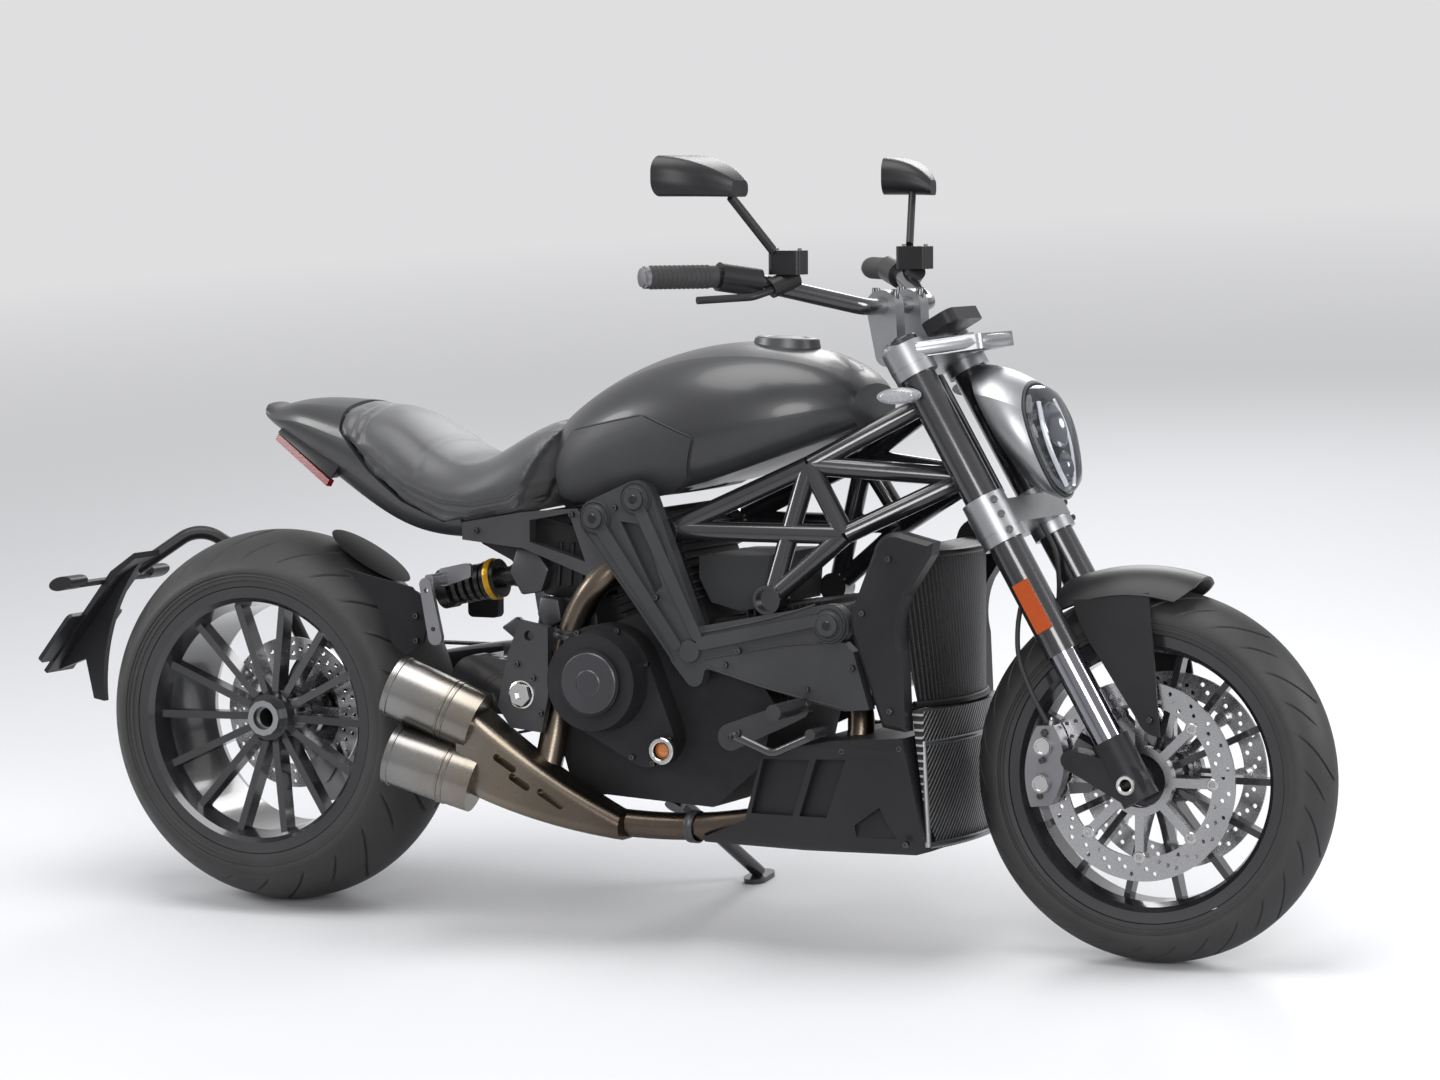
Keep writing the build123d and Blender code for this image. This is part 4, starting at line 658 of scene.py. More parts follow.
# Headlamp: a smoke-tinted acrylic lens bulges over a black bowl. In it a round main reflector sits
# above a small one, and two white running light bands follow the lens down each side.
LAMP_HALF_WIDTH, LAMP_HALF_HEIGHT, LAMP_LEAN = 0.078, 0.092, 18
GLASS_BULGE, GLASS_SAG, BAND_AHEAD, BAND_RADIUS = 0.03, 0.004, 0.0085, 0.0034
lamp_turn = math.radians(LAMP_LEAN)
lamp_out = Vector((math.cos(lamp_turn), 0, math.sin(lamp_turn)))
lamp_up = Vector((-math.sin(lamp_turn), 0, math.cos(lamp_turn)))
lamp_centre = Vector((1.4325, 0, 0.8319))
right_edge = ((0.55, 0.90), (0.93, 0.55), (1.0, 0.16), (0.92, -0.2), (0.74, -0.60), (0.5, -0.86))
left_edge = [(-x, z) for x, z in right_edge]
lamp_corners = (left_edge[1], left_edge[0], (0, 1.0), *right_edge, (0, -1.0), *left_edge[:1:-1])


def lamp_rim(half_width, half_height):
    points = []
    for k in range(len(lamp_corners)):
        a, b, c, d = (Vector(lamp_corners[(k + n) % len(lamp_corners)]) for n in (-1, 0, 1, 2))
        for t in (0, 0.25, 0.5, 0.75):
            bend = (2 * a - 5 * b + 4 * c - d) * t * t + (3 * b - 3 * c + d - a) * t ** 3
            spot = 0.5 * ((2 * b) + (c - a) * t + bend)
            points.append((spot.x * half_width, spot.y * half_height))
    return points


def on_lamp(across, height, ahead):
    return lamp_centre + across * Vector((0, 1, 0)) + height * lamp_up + ahead * lamp_out


def skin(shape, rings):
    for ring, after in zip(rings, rings[1:]):
        for k in range(len(ring)):
            beside = (k + 1) % len(ring)
            shape.faces.new((ring[k], ring[beside], after[beside], after[k]))


smoke = finish("smoked_acrylic", (0.16, 0.17, 0.19), 0.04, drift=0.04, grain=200, bump=0.01, coat=0.4)
smoke_shader = smoke.node_tree.nodes["Principled BSDF"]
smoke_shader.inputs["Transmission Weight"].default_value = 0.95
smoke_shader.inputs["IOR"].default_value = 1.12
shape = bmesh.new()
rings = []
for scale, ahead in ((1.0, 0.001), (0.995, 0.006), (0.97, 0.012), (0.90, 0.019), (0.75, 0.0245),
                     (0.5, 0.0275), (0.25, 0.029), (0.06, 0.0295)):
    sag = GLASS_SAG * (ahead / GLASS_BULGE)
    outline = lamp_rim(LAMP_HALF_WIDTH, LAMP_HALF_HEIGHT)
    rings.append([shape.verts.new(on_lamp(scale * a, scale * b - sag, ahead)) for a, b in outline])
skin(shape, rings)
shape.faces.new(rings[-1])
settle("headlamp_glass", shape, "steering", smoke, 60, "headlamp_lens")
shape = bmesh.new()
bowl = []
for scale, ahead in ((1.0, 0.0008), (0.96, 0.0035), (0.90, 0.0012), (0.3, 0.0012)):
    outline = lamp_rim(LAMP_HALF_WIDTH - 0.001, LAMP_HALF_HEIGHT - 0.001)
    bowl.append([shape.verts.new(on_lamp(scale * a, scale * b, ahead)) for a, b in outline])
skin(shape, bowl)
shape.faces.new(bowl[-1])
settle("headlamp_bowl", shape, "steering", lacquered)
mirror_chrome = finish("reflector_chrome", (0.72, 0.73, 0.75), 0.08, metal=1.0, drift=0.05, grain=200,
                       bump=0.02)
shape = bmesh.new()
for height, r in ((0.020, 0.036), (-0.046, 0.022)):
    dish = ((0, 0.003), (0.35 * r, 0.002), (0.70 * r, 0.004), (0.95 * r, 0.009), (r, 0.010),
            (1.05 * r, 0.009), (1.06 * r, 0))
    lathe(shape, on_lamp(0, height, 0.0015), lamp_out, dish, 48)
settle("headlamp_reflectors", shape, "steering", mirror_chrome)
white_light = finish("running_light", (0.85, 0.86, 0.88), 0.25, drift=0.03, grain=200, bump=0.02)
white_shader = white_light.node_tree.nodes["Principled BSDF"]
white_shader.inputs["Emission Color"].default_value = (1, 1, 1, 1)
white_shader.inputs["Emission Strength"].default_value = 1.0
band = ((0.36, 0.66), (0.50, 0.34), (0.52, 0.02), (0.44, -0.32), (0.30, -0.62), (0.16, -0.84))
for side, name in zip(SIDES, ("right", "left")):
    run = [on_lamp(side * a * LAMP_HALF_WIDTH, c * LAMP_HALF_HEIGHT, BAND_AHEAD) for a, c in band]
    bead(f"running_light_{name}", [run], BAND_RADIUS, "steering", white_light)

# Headlamp surround: a satin bezel inside the glass, broad at the brow, and a black gasket round it.
# Columns of the bezel's rings are their share of the width and of the height, and their depth.
BROW_RISE, GASKET_OUT, GASKET_RADIUS = 0.010, 0.0020, 0.0026
bezel_rings = ((1.0, 1.0, 0.0030), (0.97, 0.97, 0.0046), (0.80, 0.76, 0.0032), (0.79, 0.75, 0.0010))
outer = lamp_rim(LAMP_HALF_WIDTH - 0.0015, LAMP_HALF_HEIGHT - 0.0015)
shape = bmesh.new()
bezel = []
for wide, high, ahead in bezel_rings:
    spots = [on_lamp(wide * a, high * c - BROW_RISE * (1 - high), ahead) for a, c in outer]
    bezel.append([shape.verts.new(spot) for spot in spots])
skin(shape, bezel)
settle("headlamp_bezel", shape, "steering", satin_alloy)
gasket_line = lamp_rim(LAMP_HALF_WIDTH + GASKET_OUT, LAMP_HALF_HEIGHT + GASKET_OUT)
rim = [on_lamp(a, c, 0.0010) for a, c in gasket_line]
bead("headlamp_gasket", [rim], GASKET_RADIUS, "steering", soft_rubber, closed=True)


# Saddle: one moulded foam seat under a grey vinyl cover, sunk for the rider and raised behind for a
# passenger. The cover is swelled as cloth over the foam, then pulled in along its sewn seams.
VOXEL, SOFTENING = 0.006, 6
PUFF, SWELL_FRAMES, SWELL_LIMIT = 4, 20, 0.0045
SEAM_PULL, SEAM_SPREAD, WELT_SPREAD, SEAM_FROM_MIDDLE, WELT_ABOVE = 0.0060, 0.008, 0.006, 0.05, 0.76
seam_side = ((0.205, 0.812), (0.262, 0.772), (0.325, 0.735), (0.390, 0.712), (0.450, 0.708),
             (0.520, 0.722), (0.556, 0.745))
lower_seam = ((0.216, 0.800), (0.272, 0.759), (0.332, 0.722), (0.392, 0.699), (0.452, 0.694),
              (0.522, 0.708), (0.560, 0.731))
cross_welts = ((0.206, 0.9), (0.224, 0.9), (0.345, 0.3))
hide = finish("seat_vinyl", (0.034, 0.0345, 0.037), 0.44, drift=0.10, grain=1500, bump=0.22, sheen=0.25)
source = frame["nodes"]["rider_seat"]
mesh = source.data.copy()
seat = bpy.data.objects.new("seat_cover", mesh)
bpy.context.scene.collection.objects.link(seat)
mesh.transform(source.matrix_world)
bpy.context.view_layer.objects.active = seat
grid = seat.modifiers.new("grid", "REMESH")
grid.mode = "VOXEL"
grid.voxel_size = VOXEL
soften = seat.modifiers.new("soften", "SMOOTH")
soften.factor = 0.5
soften.iterations = SOFTENING


def apply_to_seat(modifier):
    with bpy.context.temp_override(object=seat, active_object=seat):
        bpy.ops.object.modifier_apply(modifier=modifier)


apply_to_seat("grid")
apply_to_seat("soften")
start = [v.co.copy() for v in seat.data.vertices]
cloth = seat.modifiers.new("cloth", "CLOTH")
cloth.settings.use_pressure = True
cloth.settings.uniform_pressure_force = PUFF
cloth.settings.effector_weights.gravity = 0
cloth.settings.quality = 5
for tick in range(1, SWELL_FRAMES + 1):
    bpy.context.scene.frame_set(tick)
swelling = seat.evaluated_get(bpy.context.evaluated_depsgraph_get())
moves = [b.co - a for a, b in zip(start, swelling.to_mesh().vertices)]
swelling.to_mesh_clear()
seat.modifiers.clear()
bpy.context.scene.frame_set(1)
for vertex, move, home in zip(seat.data.vertices, moves, start):
    length = max(move.length, 1e-9)
    vertex.co = home + move * min(1.0, SWELL_LIMIT / length)


def off_line(x, z, line):
    best = 1.0
    for (x1, z1), (x2, z2) in zip(line, line[1:]):
        run = Vector((x2 - x1, z2 - z1))
        t = max(0.0, min(1.0, ((x - x1) * run.x + (z - z1) * run.y) / run.length_squared))
        best = min(best, math.hypot(x - x1 - t * run.x, z - z1 - t * run.y))
    return best


from_bike = bike.inverted()
for vertex in seat.data.vertices:
    spot = from_bike @ vertex.co
    pulls = [0.0]
    if abs(spot.y) > SEAM_FROM_MIDDLE:
        gaps = [off_line(spot.x, spot.z, line) for line in (seam_side, lower_seam)]
        pulls += [math.exp(-((gap / SEAM_SPREAD) ** 2)) for gap in gaps]
    if spot.z > WELT_ABOVE:
        pulls += [share * math.exp(-(((spot.x - x) / WELT_SPREAD) ** 2)) for x, share in cross_welts]
    vertex.co -= vertex.normal * SEAM_PULL * max(pulls)
seat.data.materials.clear()
seat.data.materials.append(hide)
seat.data.shade_smooth()
rounder = seat.modifiers.new("rounder", "SUBSURF")
rounder.levels = 1
rounder.render_levels = 1
apply_to_seat("rounder")
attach(seat, "chassis")
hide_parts("rider_seat")


# Seat stitching: black bonded thread, two rows of stitches a few millimetres apart along the seams.
# Each stitch and seam is laid on the cover from the side.
ROW_SPACE, STITCH_PITCH, STITCH_FROM, STITCH_TO = 0.0052, 0.0075, 0.12, 0.82
THREAD_RADIUS, SEAM_RADIUS, OUTSIDE = 0.0007, 0.0013, 0.4


def touch(piece, x, z, side):
    into = piece.matrix_world.inverted()
    eye = into @ (bike @ Vector((x, side * OUTSIDE, z)))
    aim = into.to_3x3() @ (bike.to_3x3() @ Vector((0, -side, 0)))
    hit, spot, _, _ = piece.ray_cast(eye, aim)
    return from_bike @ (piece.matrix_world @ spot) if hit else None


def between(start, end, share):
    return start[0] + share * (end[0] - start[0]), start[1] + share * (end[1] - start[1])


def laid_on(piece, line, side, shares):
    spots = [between(a, b, share) for a, b in zip(line, line[1:]) for share in shares]
    touched = [touch(piece, x, z, side) for x, z in spots]
    return [spot for spot in touched if spot is not None]


thread = finish("seat_thread", (0.030, 0.030, 0.032), 0.6, drift=0.2, grain=900, bump=0.2)
bpy.context.view_layer.update()
stitches = []
for line, shift in ((seam_side, ROW_SPACE), (lower_seam, -ROW_SPACE)):
    row = [(x, z + shift) for x, z in line]
    for side in SIDES:
        for start, end in zip(row, row[1:]):
            count = int(math.dist(start, end) / STITCH_PITCH)
            for k in range(count):
                ends = [(k + STITCH_FROM) / count, (k + STITCH_TO) / count]
                pair = laid_on(seat, (start, end), side, ends)
                if len(pair) == 2:
                    stitches.append(pair)
quarters = (0, 0.25, 0.5, 0.75)
seams = [laid_on(seat, line, side, quarters) for line in (seam_side, lower_seam) for side in SIDES]
bead("seat_seams", seams, SEAM_RADIUS, "chassis", thread)
bead("seat_stitching", stitches, THREAD_RADIUS, "chassis", thread, kind="POLY", roundness=1)


# Fuel cap: a dark anodised flap in a ring, which covers the lock. It is screwed to the top of the
# tank and tips forward a little with it.
CAP_TILT, CAP_TOP = (0.04, 0, 1), (0.9685, 0, 0.990)
cap_ring = ((0.033, -0.002), (0.0335, 0.0012), (0.036, 0.0024), (0.048, 0.0024), (0.0505, 0.0010),
            (0.051, -0.003))
cap_flap = ((0, 0.0036), (0.022, 0.0034), (0.030, 0.0022), (0.0315, 0.0005), (0.0315, -0.002), (0, -0.002))
shape = bmesh.new()
lathe(shape, CAP_TOP, CAP_TILT, cap_ring, 64)
lathe(shape, CAP_TOP, CAP_TILT, cap_flap, 64)
settle("fuel_cap_flap", shape, "chassis", dark_alloy)

# Cockpit trims: turned bar-end weights, moulded ribs round the rubber grips, and silvered glasses
# set in the mirrors' housings.
GRIP_OUTER, GRIP_INNER, GRIP_HEIGHT = (0.930, 0.4315), (1.001, 0.3435), 1.098
GRIP_RADIUS, RIB_HEIGHT, RIB_PITCH, RIB_WIDTH, RIB_COUNT = 0.0176, 0.0013, 0.004, 0.0026, 27
BAR_END_PLACE = (0.928, 0.434)
MIRROR_PLACE, MIRROR_HALF_WIDTH, MIRROR_HALF_HEIGHT = (0.976, 0.412, 1.256), 0.070, 0.027
MIRROR_FACING, MIRROR_GAP = (0.985, 0.17), 0.0006
SIDE_ROUND, TOP_ROUND, MIRROR_STEPS = 0.55, 0.75, 48
bar_end = ((0.0178, -0.002), (0.0178, 0.004), (0.0150, 0.006), (0.0150, 0.0085), (0.006, 0.0095),
           (0, 0.0095))
shape = bmesh.new()
for side in SIDES:
    way = (-0.094, side * 0.116, 0)
    lathe(shape, (BAR_END_PLACE[0], side * BAR_END_PLACE[1], GRIP_HEIGHT), way, bar_end, 36)
settle("bar_ends", shape, "steering", anodised)
shape = bmesh.new()
for side in SIDES:
    low = Vector((GRIP_OUTER[0], side * GRIP_OUTER[1], GRIP_HEIGHT))
    high = Vector((GRIP_INNER[0], side * GRIP_INNER[1], GRIP_HEIGHT))
    profile = []
    for k in range(RIB_COUNT):
        r = GRIP_RADIUS + RIB_HEIGHT * (k % 2)
        profile += [(r, RIB_PITCH * k), (r, RIB_PITCH * k + RIB_WIDTH)]
    on_grip = [(r, along) for r, along in profile if along < (high - low).length]
    lathe(shape, low, high - low, on_grip, 36)
settle("grip_ribs", shape, "steering", soft_rubber)
silvered = finish("silvered_glass", (0.80, 0.81, 0.83), 0.03, metal=1.0, drift=0.02, grain=100, bump=0.0)
shape = bmesh.new()
for side in SIDES:
    ahead = Vector((MIRROR_FACING[0], side * MIRROR_FACING[1], 0))
    across = Vector((-MIRROR_FACING[1], side * MIRROR_FACING[0], 0))
    x, y, z = MIRROR_PLACE
    centre = Vector((x, side * y, z)) - MIRROR_GAP * ahead
    ring = []
    for k in range(MIRROR_STEPS):
        turn = 2 * math.pi * k / MIRROR_STEPS
        wide = math.copysign(abs(math.cos(turn)) ** SIDE_ROUND, math.cos(turn)) * MIRROR_HALF_WIDTH
        high = math.copysign(abs(math.sin(turn)) ** TOP_ROUND, math.sin(turn)) * MIRROR_HALF_HEIGHT
        ring.append(shape.verts.new(centre + wide * across + Vector((0, 0, high))))
    shape.faces.new(ring)
settle("mirror_glasses", shape, "steering", silvered)

# Front brake trims: silver bobbins float each disc on its carrier, and the calipers have bright
# piston caps and a bleed nipple. A turned ring closes each end of the front axle.
FRONT_AXLE, BOBBIN_CIRCLE, BOBBIN_FACE = (1.615, 0.300), 0.122, 0.0768
PISTONS, PISTON_FACE = ((1.467, 0.352), (1.464, 0.292)), 0.120
NIPPLE, NIPPLE_WAY, AXLE_FACE = (1.476, 0.104, 0.386), (0.1, 0, 1), 0.138
bobbin = ((0.0045, -0.001), (0.0045, 0.0008), (0.0052, 0.0018), (0.0085, 0.0018), (0.0095, 0.0008),
          (0.0095, -0.003))
piston_cap = ((0, 0.0005), (0.0095, 0.0005), (0.0105, 0.0025), (0.0135, 0.0025), (0.0145, 0.001),
              (0.0145, -0.001))
bleed_nipple = ((0, 0.012), (0.0025, 0.012), (0.003, 0.008), (0.0045, 0.007), (0.0045, -0.003))
axle_ring = ((0.0102, -0.001), (0.0102, 0.002), (0.012, 0.003), (0.0150, 0.003), (0.0158, 0.001),
             (0.0158, -0.003))
axle_x, axle_z = FRONT_AXLE
shape = bmesh.new()
for side in SIDES:
    for spot in pitch_circle(axle_x, side * BOBBIN_FACE, axle_z, BOBBIN_CIRCLE, range(0, 360, 45)):
        lathe(shape, spot, (0, side, 0), bobbin, 24)
settle("disc_bobbins", shape, "front_wheel", bright_steel)
shape = bmesh.new()
for side in SIDES:
    for x, z in PISTONS:
        lathe(shape, (x, side * PISTON_FACE, z), (0, side, 0), piston_cap, 36)
    x, y, z = NIPPLE
    lathe(shape, (x, side * y, z), NIPPLE_WAY, bleed_nipple, 16)
    lathe(shape, (axle_x, side * AXLE_FACE, axle_z), (0, side, 0), axle_ring, 36)
settle("caliper_trims", shape, "steering", bright_steel)

# Shock adjuster: a yellow anodised collar on the front end of the damper. Every third step round its
# rim is sunk a little, as a flute to grip.
SHOCK_REAR, SHOCK_FRONT, COLLAR_ALONG = (0.352, -0.062, 0.560), (0.500, -0.062, 0.590), 0.0875
FLUTE_FROM, FLUTE_FLOOR, FLUTE_EVERY = 0.0352, 0.0344, 3
collar = ((0.0331, 0.008), (0.0348, 0.0085), (0.0356, 0.010), (0.0356, 0.017), (0.0348, 0.0185),
          (0.0331, 0.019))
yellow = finish("yellow_collar", (0.50, 0.27, 0.010), 0.32, metal=0.35, drift=0.12, grain=500, bump=0.05)
start = Vector(SHOCK_REAR)
way = (Vector(SHOCK_FRONT) - start).normalized()
shape = bmesh.new()
lathe(shape, start + COLLAR_ALONG * way, way, collar, 60)
for k, vertex in enumerate(shape.verts):
    centre = start + (vertex.co - start).dot(way) * way
    out = vertex.co - centre
    if out.length > FLUTE_FROM and (k // len(collar)) % FLUTE_EVERY == 0:
        vertex.co = centre + out * (FLUTE_FLOOR / out.length)
settle("shock_collar", shape, "chassis", yellow)

# Panel joints: black rubber beads fill the joint round each tank side panel. They lie on the tank,
# just outside the panel's edge.
PANEL_MIDDLE, PANEL_GROWTH, PANEL_BEAD = (0.755, 0.785), (1.012, 1.02), 0.0020
panel = ((0.604, 0.786), (0.640, 0.838), (0.792, 0.868), (0.886, 0.832), (0.860, 0.764), (0.812, 0.734),
         (0.660, 0.712), (0.604, 0.730))
around = []
for x, z in panel + panel[:1]:
    out_x = PANEL_MIDDLE[0] + PANEL_GROWTH[0] * (x - PANEL_MIDDLE[0])
    out_z = PANEL_MIDDLE[1] + PANEL_GROWTH[1] * (z - PANEL_MIDDLE[1])
    around.append((out_x, out_z))
tank = frame["nodes"]["fuel_tank"]
panel_joints = [laid_on(tank, around, side, (0, 0.2, 0.4, 0.6, 0.8)) for side in SIDES]
bead("panel_joints", panel_joints, PANEL_BEAD, "chassis", soft_rubber)


# Exhaust headers: bent stainless pipes lead from the two cylinders down to the collector. Bands
# with a raised lip clamp them, two on the rear pipe and one on the front one.
REAR_PIPE_RADIUS, FRONT_PIPE_RADIUS = 0.024, 0.023
rear_pipe = ((0.735, -0.095, 0.640), (0.690, -0.135, 0.600), (0.640, -0.128, 0.530),
             (0.618, -0.128, 0.450), (0.612, -0.140, 0.360), (0.600, -0.165, 0.262))
front_pipe = ((1.120, -0.060, 0.420), (1.150, -0.080, 0.340), (1.080, -0.105, 0.230),
              (0.930, -0.120, 0.196), (0.800, -0.140, 0.188), (0.730, -0.160, 0.196))
clamp_band = ((0.0242, -0.008), (0.0268, -0.008), (0.0272, -0.003), (0.0262, 0), (0.0272, 0.003),
              (0.0268, 0.008), (0.0242, 0.008))
clamp_places = (
    ((0.614, -0.134, 0.400), (0.02, 0.05, 1)), ((0.628, -0.128, 0.500), (0.2, 0, 1)),
    ((0.860, -0.131, 0.191), (1, -0.1, 0)),
)
bead("header_rear", [rear_pipe], REAR_PIPE_RADIUS, "chassis", stainless)
bead("header_front", [front_pipe], FRONT_PIPE_RADIUS, "chassis", stainless)
shape = bmesh.new()
for spot, way in clamp_places:
    lathe(shape, spot, way, clamp_band, 36)
settle("header_clamps", shape, "chassis", plate_alloy)


# Covers behind the engine: a moulded electronics tray under the seat, with ribs and a lid, and the
# cast shock mount below it. Each is a plate that follows its outline from the side.
SOFT_EDGE, RIB_EDGE, PLATE_EDGE, FIN_EDGE = 0.006, 0.002, 0.004, 0.001


def slab(shape, outline, y, depth, edge):
    front = [shape.verts.new((x, y, z)) for x, z in outline]
    back = [shape.verts.new((x, y + depth, z)) for x, z in outline]
    faces = [shape.faces.new(front), shape.faces.new(back[::-1])]
    for k in range(len(outline)):
        after = (k + 1) % len(outline)
        faces.append(shape.faces.new((front[k], back[k], back[after], front[after])))
    edges = list({e for f in faces for e in f.edges})
    bmesh.ops.bevel(shape, geom=edges, offset=edge, segments=2, profile=0.5, affect="EDGES", material=-1)


tray = ((0.430, 0.660), (0.560, 0.690), (0.668, 0.668), (0.690, 0.590), (0.640, 0.548), (0.560, 0.560),
        (0.500, 0.622), (0.440, 0.640))
tray_lid = ((0.560, 0.556), (0.660, 0.560), (0.672, 0.470), (0.640, 0.440), (0.590, 0.452), (0.548, 0.500))
mount_block = ((0.462, 0.470), (0.560, 0.480), (0.606, 0.452), (0.600, 0.350), (0.560, 0.330),
               (0.470, 0.364))
mount_foot = ((0.618, 0.340), (0.660, 0.350), (0.700, 0.236), (0.668, 0.228), (0.640, 0.262))
shape = bmesh.new()
for outline, y, depth, edge in (
    (tray, -0.090, 0.180, SOFT_EDGE), (tray_lid, -0.100, 0.200, SOFT_EDGE),
    (mount_block, -0.060, 0.120, SOFT_EDGE), (mount_foot, -0.120, 0.220, 0.005),
):
    slab(shape, outline, y, depth, edge)
for x in (0.590, 0.612, 0.634):
    rib = ((x, 0.650), (x + 0.008, 0.650), (x + 0.002, 0.575), (x - 0.006, 0.575))
    slab(shape, rib, -0.096, 0.006, RIB_EDGE)
settle("tray_and_mount", shape, "chassis", black_mould, 30)

# Shock rocker: three cast plates carry the damper's load down to the swingarm, bolted beside one
# another behind the engine.
rocker = ((0.520, 0.640), (0.556, 0.636), (0.580, 0.604), (0.566, 0.566), (0.528, 0.560), (0.506, 0.598))
rocker_foot = ((0.572, 0.560), (0.606, 0.556), (0.612, 0.520), (0.582, 0.506), (0.566, 0.530))
rocker_link = ((0.470, 0.500), (0.500, 0.520), (0.560, 0.470), (0.548, 0.444))
plates = ((rocker, -0.112, 0.022), (rocker_foot, -0.128, 0.030), (rocker_link, -0.078, 0.018))
shape = bmesh.new()
for outline, y, depth in plates:
    slab(shape, outline, y, depth, PLATE_EDGE)
settle("shock_rocker", shape, "chassis", plate_alloy, 30)

# Cylinders: eleven cooling fins round each of the two barrels, cast with them. Columns are the place
# of the fifth fin and the angle of the barrel's axis from level.
FIN_COUNT, FIRST_FIN, FIN_SPACE, FIN_HALF_THICK, FIN_REACH = 11, -4, 0.0135, 0.0018, 0.078
FIN_RIGHT, FIN_WIDTH = -0.112, 0.224
shape = bmesh.new()
for x, z, angle in ((0.772, 0.590, 112), (1.010, 0.480, 8)):
    turn = math.radians(angle)
    along = Vector((math.cos(turn), math.sin(turn)))
    across = Vector((-math.sin(turn), math.cos(turn)))
    for k in range(FIN_COUNT):
        spot = Vector((x, z)) + (k + FIRST_FIN) * FIN_SPACE * along
        thick, reach = FIN_HALF_THICK * along, FIN_REACH * across
        corners = (spot - thick - reach, spot + thick - reach, spot + thick + reach, spot - thick + reach)
        slab(shape, corners, FIN_RIGHT, FIN_WIDTH, FIN_EDGE)
settle("cylinder_fins", shape, "chassis", cast_grey, 30)


# Lower grille surround: a satin frame follows the screen's bowed front. Two black rails cross the
# radiator core above it, at its foot and near its top.
SCREEN_FRONT, SCREEN_HALF_WIDTH, SCREEN_BOW, SCREEN_RAKE = 1.304, 0.165, 0.026, 0.05
CORE_FRONT, CORE_HALF_WIDTH, CORE_BOW, CORE_RAILS = 1.302, 0.153, 0.046, (0.412, 0.652)
FRAME_RADIUS, RAIL_RADIUS = 0.0052, 0.0060


def grille_point(y, z):
    raked = SCREEN_FRONT + (0.340 - z) * SCREEN_RAKE
    return raked - SCREEN_BOW * (abs(y) / SCREEN_HALF_WIDTH) ** 2 + 0.001, y, z


def core_point(y, z):
    return CORE_FRONT - CORE_BOW * (abs(y) / CORE_HALF_WIDTH) ** 2, y, z


widths = [-0.158 + 0.0395 * k for k in range(9)]
grille_lines = [[grille_point(y, z) for y in widths] for z in (0.352, 0.188)]
grille_lines += [[grille_point(side * 0.160, z) for z in (0.356, 0.300, 0.240, 0.186)] for side in SIDES]
bead("grille_frame", grille_lines, FRAME_RADIUS, "chassis", satin_alloy)
core_widths = (-0.148, -0.11, -0.07, -0.03, 0.03, 0.07, 0.11, 0.148)
core_lines = [[core_point(y, z) for y in core_widths] for z in CORE_RAILS]
bead("core_rails", core_lines, RAIL_RADIUS, "chassis", black_mould)

# Yoke trims: black fork caps with a hexagon adjuster in a turned ring, and the pinch bolts of the
# lower yoke. They stand on the steering stem's own raked axes.
STEM_FOOT, CAP_AHEAD, CAP_APART, CAP_HEIGHT = (1.745, 0, 0), 0.0374, 0.107, 1.120
PINCH_AHEAD, PINCH_APART, PINCH_HEIGHTS = 0.064, 0.1315, (0.768, 0.796, 0.822)
cap_body = ((0, 0.0035), (0.010, 0.0035), (0.0105, 0.0012), (0.022, 0.0012), (0.0235, 0.003),
            (0.0275, 0.003), (0.0288, 0.001), (0.0288, -0.006))
cap_adjuster = ((0, 0.009), (0.0075, 0.009), (0.0085, 0.008), (0.0085, 0.002), (0, 0.002))
pinch_bolt = ((0, 0.0042), (0.0026, 0.0042), (0.003, 0.0065), (0.0055, 0.0065), (0.006, 0.005),
              (0.006, -0.006))
stem_up = Vector((-0.5, 0, 0.8660254))
stem_ahead = Vector((0.8660254, 0, 0.5))
stem_foot = Vector(STEM_FOOT)
shape = bmesh.new()
for side in SIDES:
    top = stem_foot + CAP_AHEAD * stem_ahead + Vector((0, side * CAP_APART, 0)) + CAP_HEIGHT * stem_up
    lathe(shape, top, stem_up, cap_body, 48)
    lathe(shape, top, stem_up, cap_adjuster, 6)
    for height in PINCH_HEIGHTS:
        spot = stem_foot + PINCH_AHEAD * stem_ahead + Vector((0, side * PINCH_APART, 0)) + height * stem_up
        lathe(shape, spot, stem_ahead * 0.4 + Vector((0, side, 0)), pinch_bolt, 20)
settle("fork_caps", shape, "steering", lacquered)

# Stem nut and bar clamp bolts: the anodised nut holds the upper yoke on the stem, and four bolts
# hold the handlebar in its risers.
BOW_FOOT, BOW_TILT = (1.226, 0, 0.964), (0.988, 0.155)
NUT_AHEAD, NUT_RISE, CLAMP_APART, CLAMP_TILT = 0.012, 0.0215, 0.050, (0.06, 0, 1)
stem_nut = ((0, 0.006), (0.010, 0.006), (0.011, 0.002), (0.022, 0.002), (0.0235, 0.0045), (0.027, 0.0045),
            (0.028, 0.003), (0.028, -0.002))
clamp_bolt = ((0, 0.006), (0.003, 0.006), (0.0034, 0.009), (0.006, 0.009), (0.0066, 0.0075),
              (0.0066, -0.006))
bow_ahead = Vector((BOW_TILT[0], 0, BOW_TILT[1]))
bow_up = Vector((-BOW_TILT[1], 0, BOW_TILT[0]))
bow_foot = Vector(BOW_FOOT)
shape = bmesh.new()
lathe(shape, bow_foot + NUT_AHEAD * bow_ahead + NUT_RISE * bow_up, bow_up, stem_nut, 48)
settle("stem_nut", shape, "steering", anodised)
shape = bmesh.new()
for side in SIDES:
    for x, z in ((1.150, 1.066), (1.184, 1.064)):
        lathe(shape, (x, side * CLAMP_APART, z), CLAMP_TILT, clamp_bolt, 20)
settle("bar_clamp_bolts", shape, "steering", zinc)

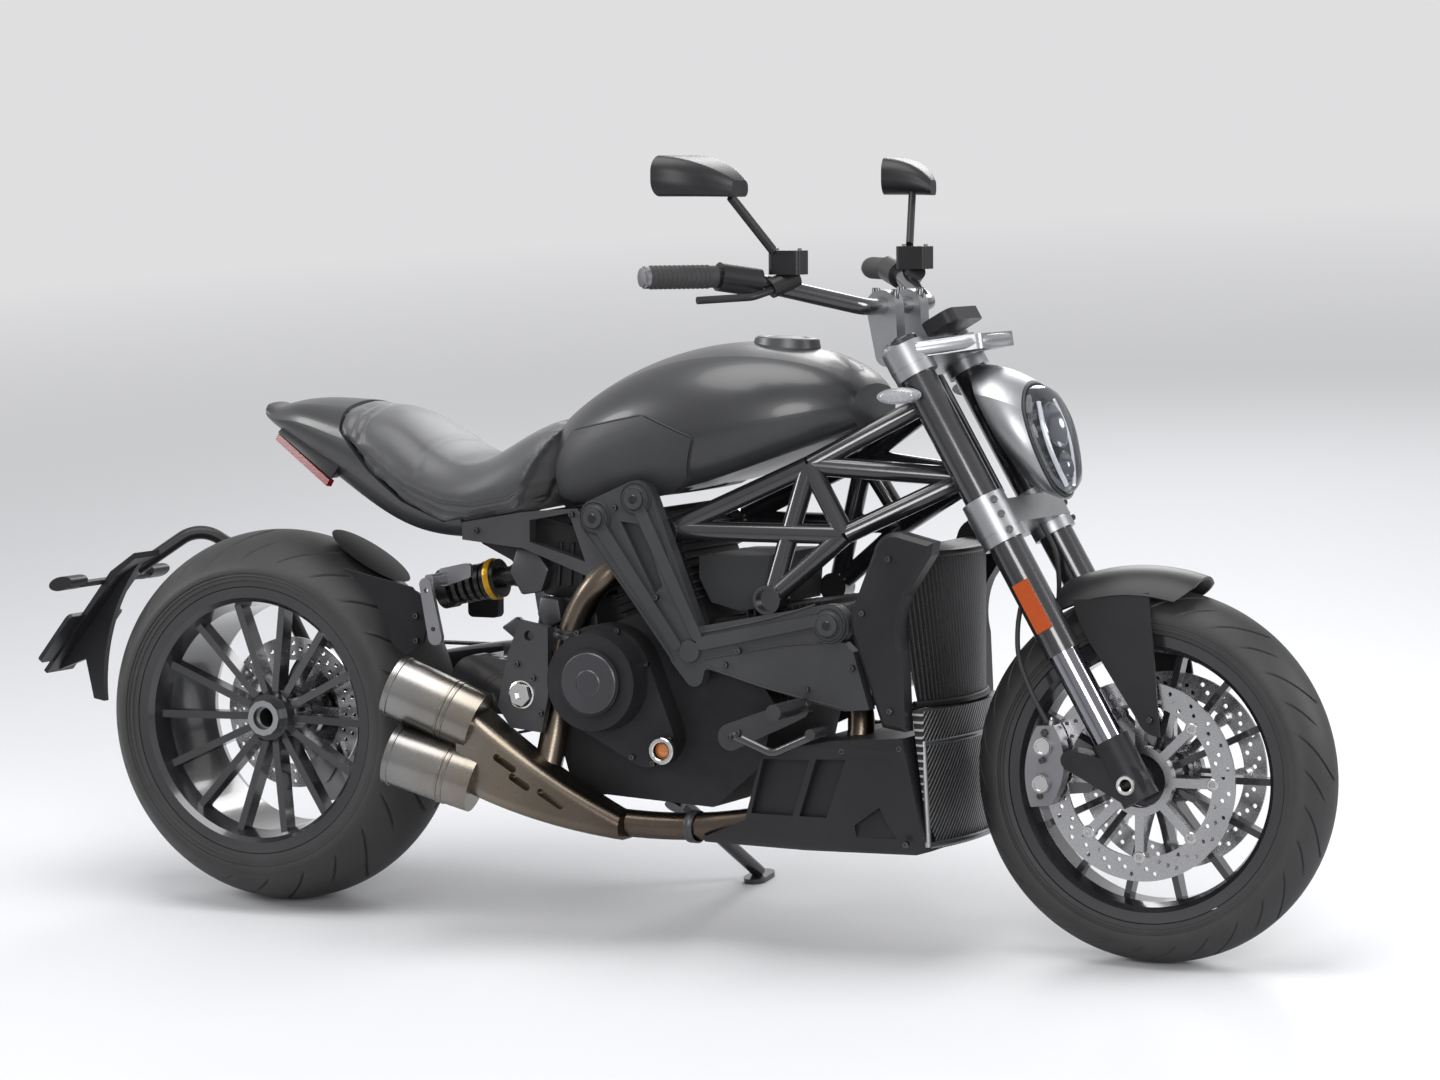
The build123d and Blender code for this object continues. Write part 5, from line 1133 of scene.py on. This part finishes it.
# Upper yoke rim: a rounded edge runs round the bow's front, as the casting's has, and a moulded
# black pad lies over its opening. Columns of the pad are how far ahead, half its width and its rise.
RIM_RISE, RIM_RADIUS, PAD_CROWN, PAD_COLUMNS = 0.010, 0.0125, 0.004, 9
bow_edge = ((-0.022, 0.124), (0.016, 0.126), (0.050, 0.108), (0.080, 0.088), (0.106, 0.066),
            (0.112, 0.040), (0.113, 0.014))
both_edges = [(a, -c) for a, c in bow_edge] + [(a, c) for a, c in bow_edge[::-1]]
rim = [bow_foot + a * bow_ahead + Vector((0, c, 0)) + RIM_RISE * bow_up for a, c in both_edges]
bead("yoke_rim", [rim], RIM_RADIUS, "steering", satin_alloy)
shape = bmesh.new()
rows = []
for a, half, rise in ((0.020, 0.050, 0.006), (0.030, 0.048, 0.018), (0.060, 0.045, 0.021),
                      (0.088, 0.040, 0.018), (0.098, 0.038, 0.006)):
    row = []
    for k in range(PAD_COLUMNS):
        share = (k - 4) / 4
        height = rise + PAD_CROWN - PAD_CROWN * share ** 2
        spot = bow_foot + a * bow_ahead + Vector((0, half * share, 0)) + height * bow_up
        row.append(shape.verts.new(spot))
    rows.append(row)
for row, after in zip(rows, rows[1:]):
    for k in range(PAD_COLUMNS - 1):
        shape.faces.new((row[k], row[k + 1], after[k + 1], after[k]))
settle("yoke_pad", shape, "steering", soft_rubber, 60)

# Tail light housings: a black moulding joins each red strip to the tail above it. Its two ends are
# quads, the lower edge on the strip and the upper edge inside the tail.
STRIP_RISE, HOUSING_EDGE, INWARD = 0.0065, 0.002, (-0.0062, 0.020, 0.032, 0.004)
rise = Vector((0.5, 0, 0.866))
shape = bmesh.new()
for side in SIDES:
    ends = []
    for x, y, z, deep in ((0.026, 0.061, 0.8145, 0.022), (0.160, 0.109, 0.7405, 0.040)):
        low = Vector((x, side * y, z))
        corners = []
        for up_by, inward in zip((STRIP_RISE, STRIP_RISE, deep, deep), INWARD):
            corners.append(low + up_by * rise - Vector((0, side * inward, 0)))
        ends.append([shape.verts.new(corner) for corner in corners])
    faces = [shape.faces.new(ends[0]), shape.faces.new(ends[1][::-1])]
    for k in range(4):
        after = (k + 1) % 4
        faces.append(shape.faces.new((ends[0][k], ends[1][k], ends[1][after], ends[0][after])))
    edges = list({e for f in faces for e in f.edges})
    bmesh.ops.bevel(shape, geom=edges, offset=HOUSING_EDGE, segments=2, profile=0.5, affect="EDGES",
                    material=-1)
settle("tail_light_housings", shape, "chassis", black_mould, 30)

# Front indicators: a bulged clear glass with a bright rim over each oval housing. The round glass is
# stretched along the machine to the housing's oval.
INDICATOR_PLACE, INDICATOR_TILT, OVAL_STRETCH = (1.236, 0.1652, 0.906), -4, 2.72
RIM_CIRCLE, RIM_OUT, RIM_WIRE = 0.0119, 0.0006, 0.0011
indicator_dome = ((0, 0.0058), (0.005, 0.0052), (0.009, 0.0036), (0.0112, 0.0012), (0.0116, 0))
clear_glass = finish("indicator_glass", (0.80, 0.81, 0.83), 0.05, drift=0.03, grain=200, bump=0.02, coat=0.5)
clear_glass.node_tree.nodes["Principled BSDF"].inputs["Transmission Weight"].default_value = 0.8
shape = bmesh.new()
rims = []
for side in SIDES:
    x, y, z = INDICATOR_PLACE
    place = Matrix.Translation((x, side * y, z)) @ Matrix.Rotation(math.radians(INDICATOR_TILT), 4, "Y")
    place = place @ Matrix.Diagonal((OVAL_STRETCH, 1, 1, 1))
    standing = set(shape.verts)
    lathe(shape, (0, 0, 0), (0, side, 0), indicator_dome, 48)
    bmesh.ops.transform(shape, matrix=place, verts=[v for v in shape.verts if v not in standing])
    circle = pitch_circle(0, RIM_OUT, 0, RIM_CIRCLE, range(0, 360, 15))
    rims.append([place @ Vector(spot) for spot in circle])
settle("indicator_glasses", shape, "steering", clear_glass, 60)
bead("indicator_rims", rims, RIM_WIRE, "steering", satin_alloy, closed=True)
